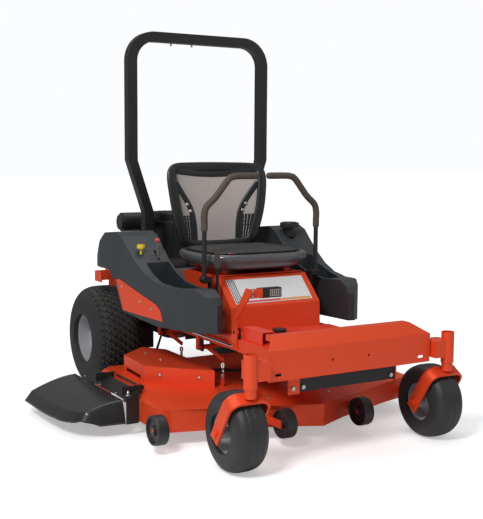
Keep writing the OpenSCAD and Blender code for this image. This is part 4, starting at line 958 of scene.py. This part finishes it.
class MOWER_OT_stage(bpy.types.Operator):
    """Build the camera, the pale floor and the soft studio light"""

    bl_idname = "mower.stage"
    bl_label = "Stage"

    def execute(self, context):
        settings = context.scene.mower_stage
        scene = context.scene
        camera = bpy.data.cameras.new("studio_camera")
        camera.lens, camera.sensor_width, camera.sensor_fit = settings.lens, 36, "AUTO"
        camera.clip_end = 100
        ob = bpy.data.objects.new("studio_camera", camera)
        scene.collection.objects.link(ob)
        pose = Matrix.Translation(CAMERA_PLACE)
        for degrees, axis in CAMERA_TURN:
            pose = pose @ Matrix.Rotation(math.radians(degrees), 4, axis)
        ob.matrix_world = pose
        scene.camera = ob

        mat = bpy.data.materials.new("studio_floor")
        mat.use_nodes = True
        tree = mat.node_tree
        shader = tree.nodes["Principled BSDF"]
        shader.inputs["Roughness"].default_value = 0.6
        shade = mix_colour(tree, value_node(tree, "MULTIPLY", noise(tree, 2.0, 3), 0.06), tuple(settings.floor),
                           (0.84, 0.84, 0.85))
        link(tree, shade, shader.inputs["Base Color"])
        reach = tree.nodes.new("ShaderNodeVectorMath")
        reach.operation = "LENGTH"
        link(tree, tree.nodes.new("ShaderNodeTexCoord").outputs["Object"], reach.inputs[0])
        far = value_node(tree, "MULTIPLY", value_node(tree, "SUBTRACT", reach.outputs["Value"], 1.1), 0.42,
                         clamp=True)
        seen = tree.nodes.new("ShaderNodeLightPath").outputs["Is Camera Ray"]
        glow = value_node(tree, "MULTIPLY", value_node(tree, "ADD", value_node(tree, "MULTIPLY", far, 0.5), 0.5),
                          seen)
        link(tree, mix_colour(tree, glow, (0.0, 0.0, 0.0), (FLOOR_GLOW,) * 3), shader.inputs["Emission Color"])
        shader.inputs["Emission Strength"].default_value = 1.0
        bm = bmesh.new()
        loft(bm, [[Vector((-40, -40, 0)), Vector((40, -40, 0))], [Vector((-40, 40, 0)), Vector((40, 40, 0))]],
             closed=False)
        mesh = bpy.data.meshes.new("studio_floor")
        bm.to_mesh(mesh)
        bm.free()
        floor = bpy.data.objects.new("studio_floor", mesh)
        mesh.materials.append(mat)
        scene.collection.objects.link(floor)

        world = bpy.data.worlds.new("studio")
        world.use_nodes = True
        sky = world.node_tree.nodes["Background"]
        sky.inputs["Color"].default_value = (0.97, 0.98, 1.0, 1)
        seen = world.node_tree.nodes.new("ShaderNodeLightPath").outputs["Is Camera Ray"]
        link(world.node_tree, value_node(world.node_tree, "ADD",
                                         value_node(world.node_tree, "MULTIPLY", seen, SKY_EXTRA_SEEN), SKY_LIGHT),
             sky.inputs["Strength"])
        scene.world = world
        for name, place, size, power in LAMPS:
            lamp = bpy.data.lights.new(name, "AREA")
            lamp.energy, lamp.shape, lamp.size = power, "SQUARE", size
            holder = bpy.data.objects.new(name, lamp)
            scene.collection.objects.link(holder)
            holder.location = place
            holder.rotation_euler = (Vector(AIM) - Vector(place)).to_track_quat("-Z", "Y").to_euler()
        scene.view_settings.view_transform = "Standard"
        return {"FINISHED"}


class MOWER_PT_panel(bpy.types.Panel):
    """Lists the mower's settings and build steps"""

    bl_idname = "MOWER_PT_panel"
    bl_label = "Zero Turn Mower"
    bl_space_type = "VIEW_3D"
    bl_region_type = "UI"
    bl_category = "Mower"

    def draw(self, context):
        for settings in (context.scene.mower_finish, context.scene.mower_sizes, context.scene.mower_stage):
            box = self.layout.box()
            for name in settings.__annotations__:
                box.prop(settings, name)
        for operator in OPERATORS:
            self.layout.operator(operator.bl_idname)


OPERATORS = (MOWER_OT_stage, MOWER_OT_finishes, MOWER_OT_tyres, MOWER_OT_seat, MOWER_OT_chute, MOWER_OT_console,
             MOWER_OT_hardware)
SETTINGS = (("mower_finish", MowerFinish), ("mower_sizes", MowerSizes), ("mower_stage", MowerStage))


def register():
    for name, kind in SETTINGS:
        bpy.utils.register_class(kind)
        setattr(bpy.types.Scene, name, bpy.props.PointerProperty(type=kind))
    for kind in (*OPERATORS, MOWER_PT_panel):
        bpy.utils.register_class(kind)


def unregister():
    for kind in (MOWER_PT_panel, *reversed(OPERATORS)):
        bpy.utils.unregister_class(kind)
    for name, kind in reversed(SETTINGS):
        delattr(bpy.types.Scene, name)
        bpy.utils.unregister_class(kind)


def corners(box):
    return [[float(v) for v in corner] for corner in box]


def main():
    """Builds everything in order."""
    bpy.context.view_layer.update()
    register()
    bpy.ops.mower.stage()
    bpy.ops.mower.finishes()
    bpy.ops.mower.tyres()
    bpy.ops.mower.seat()
    bpy.ops.mower.chute()
    bpy.ops.mower.console()
    bpy.ops.mower.hardware()


if __name__ == "__main__":
    main()
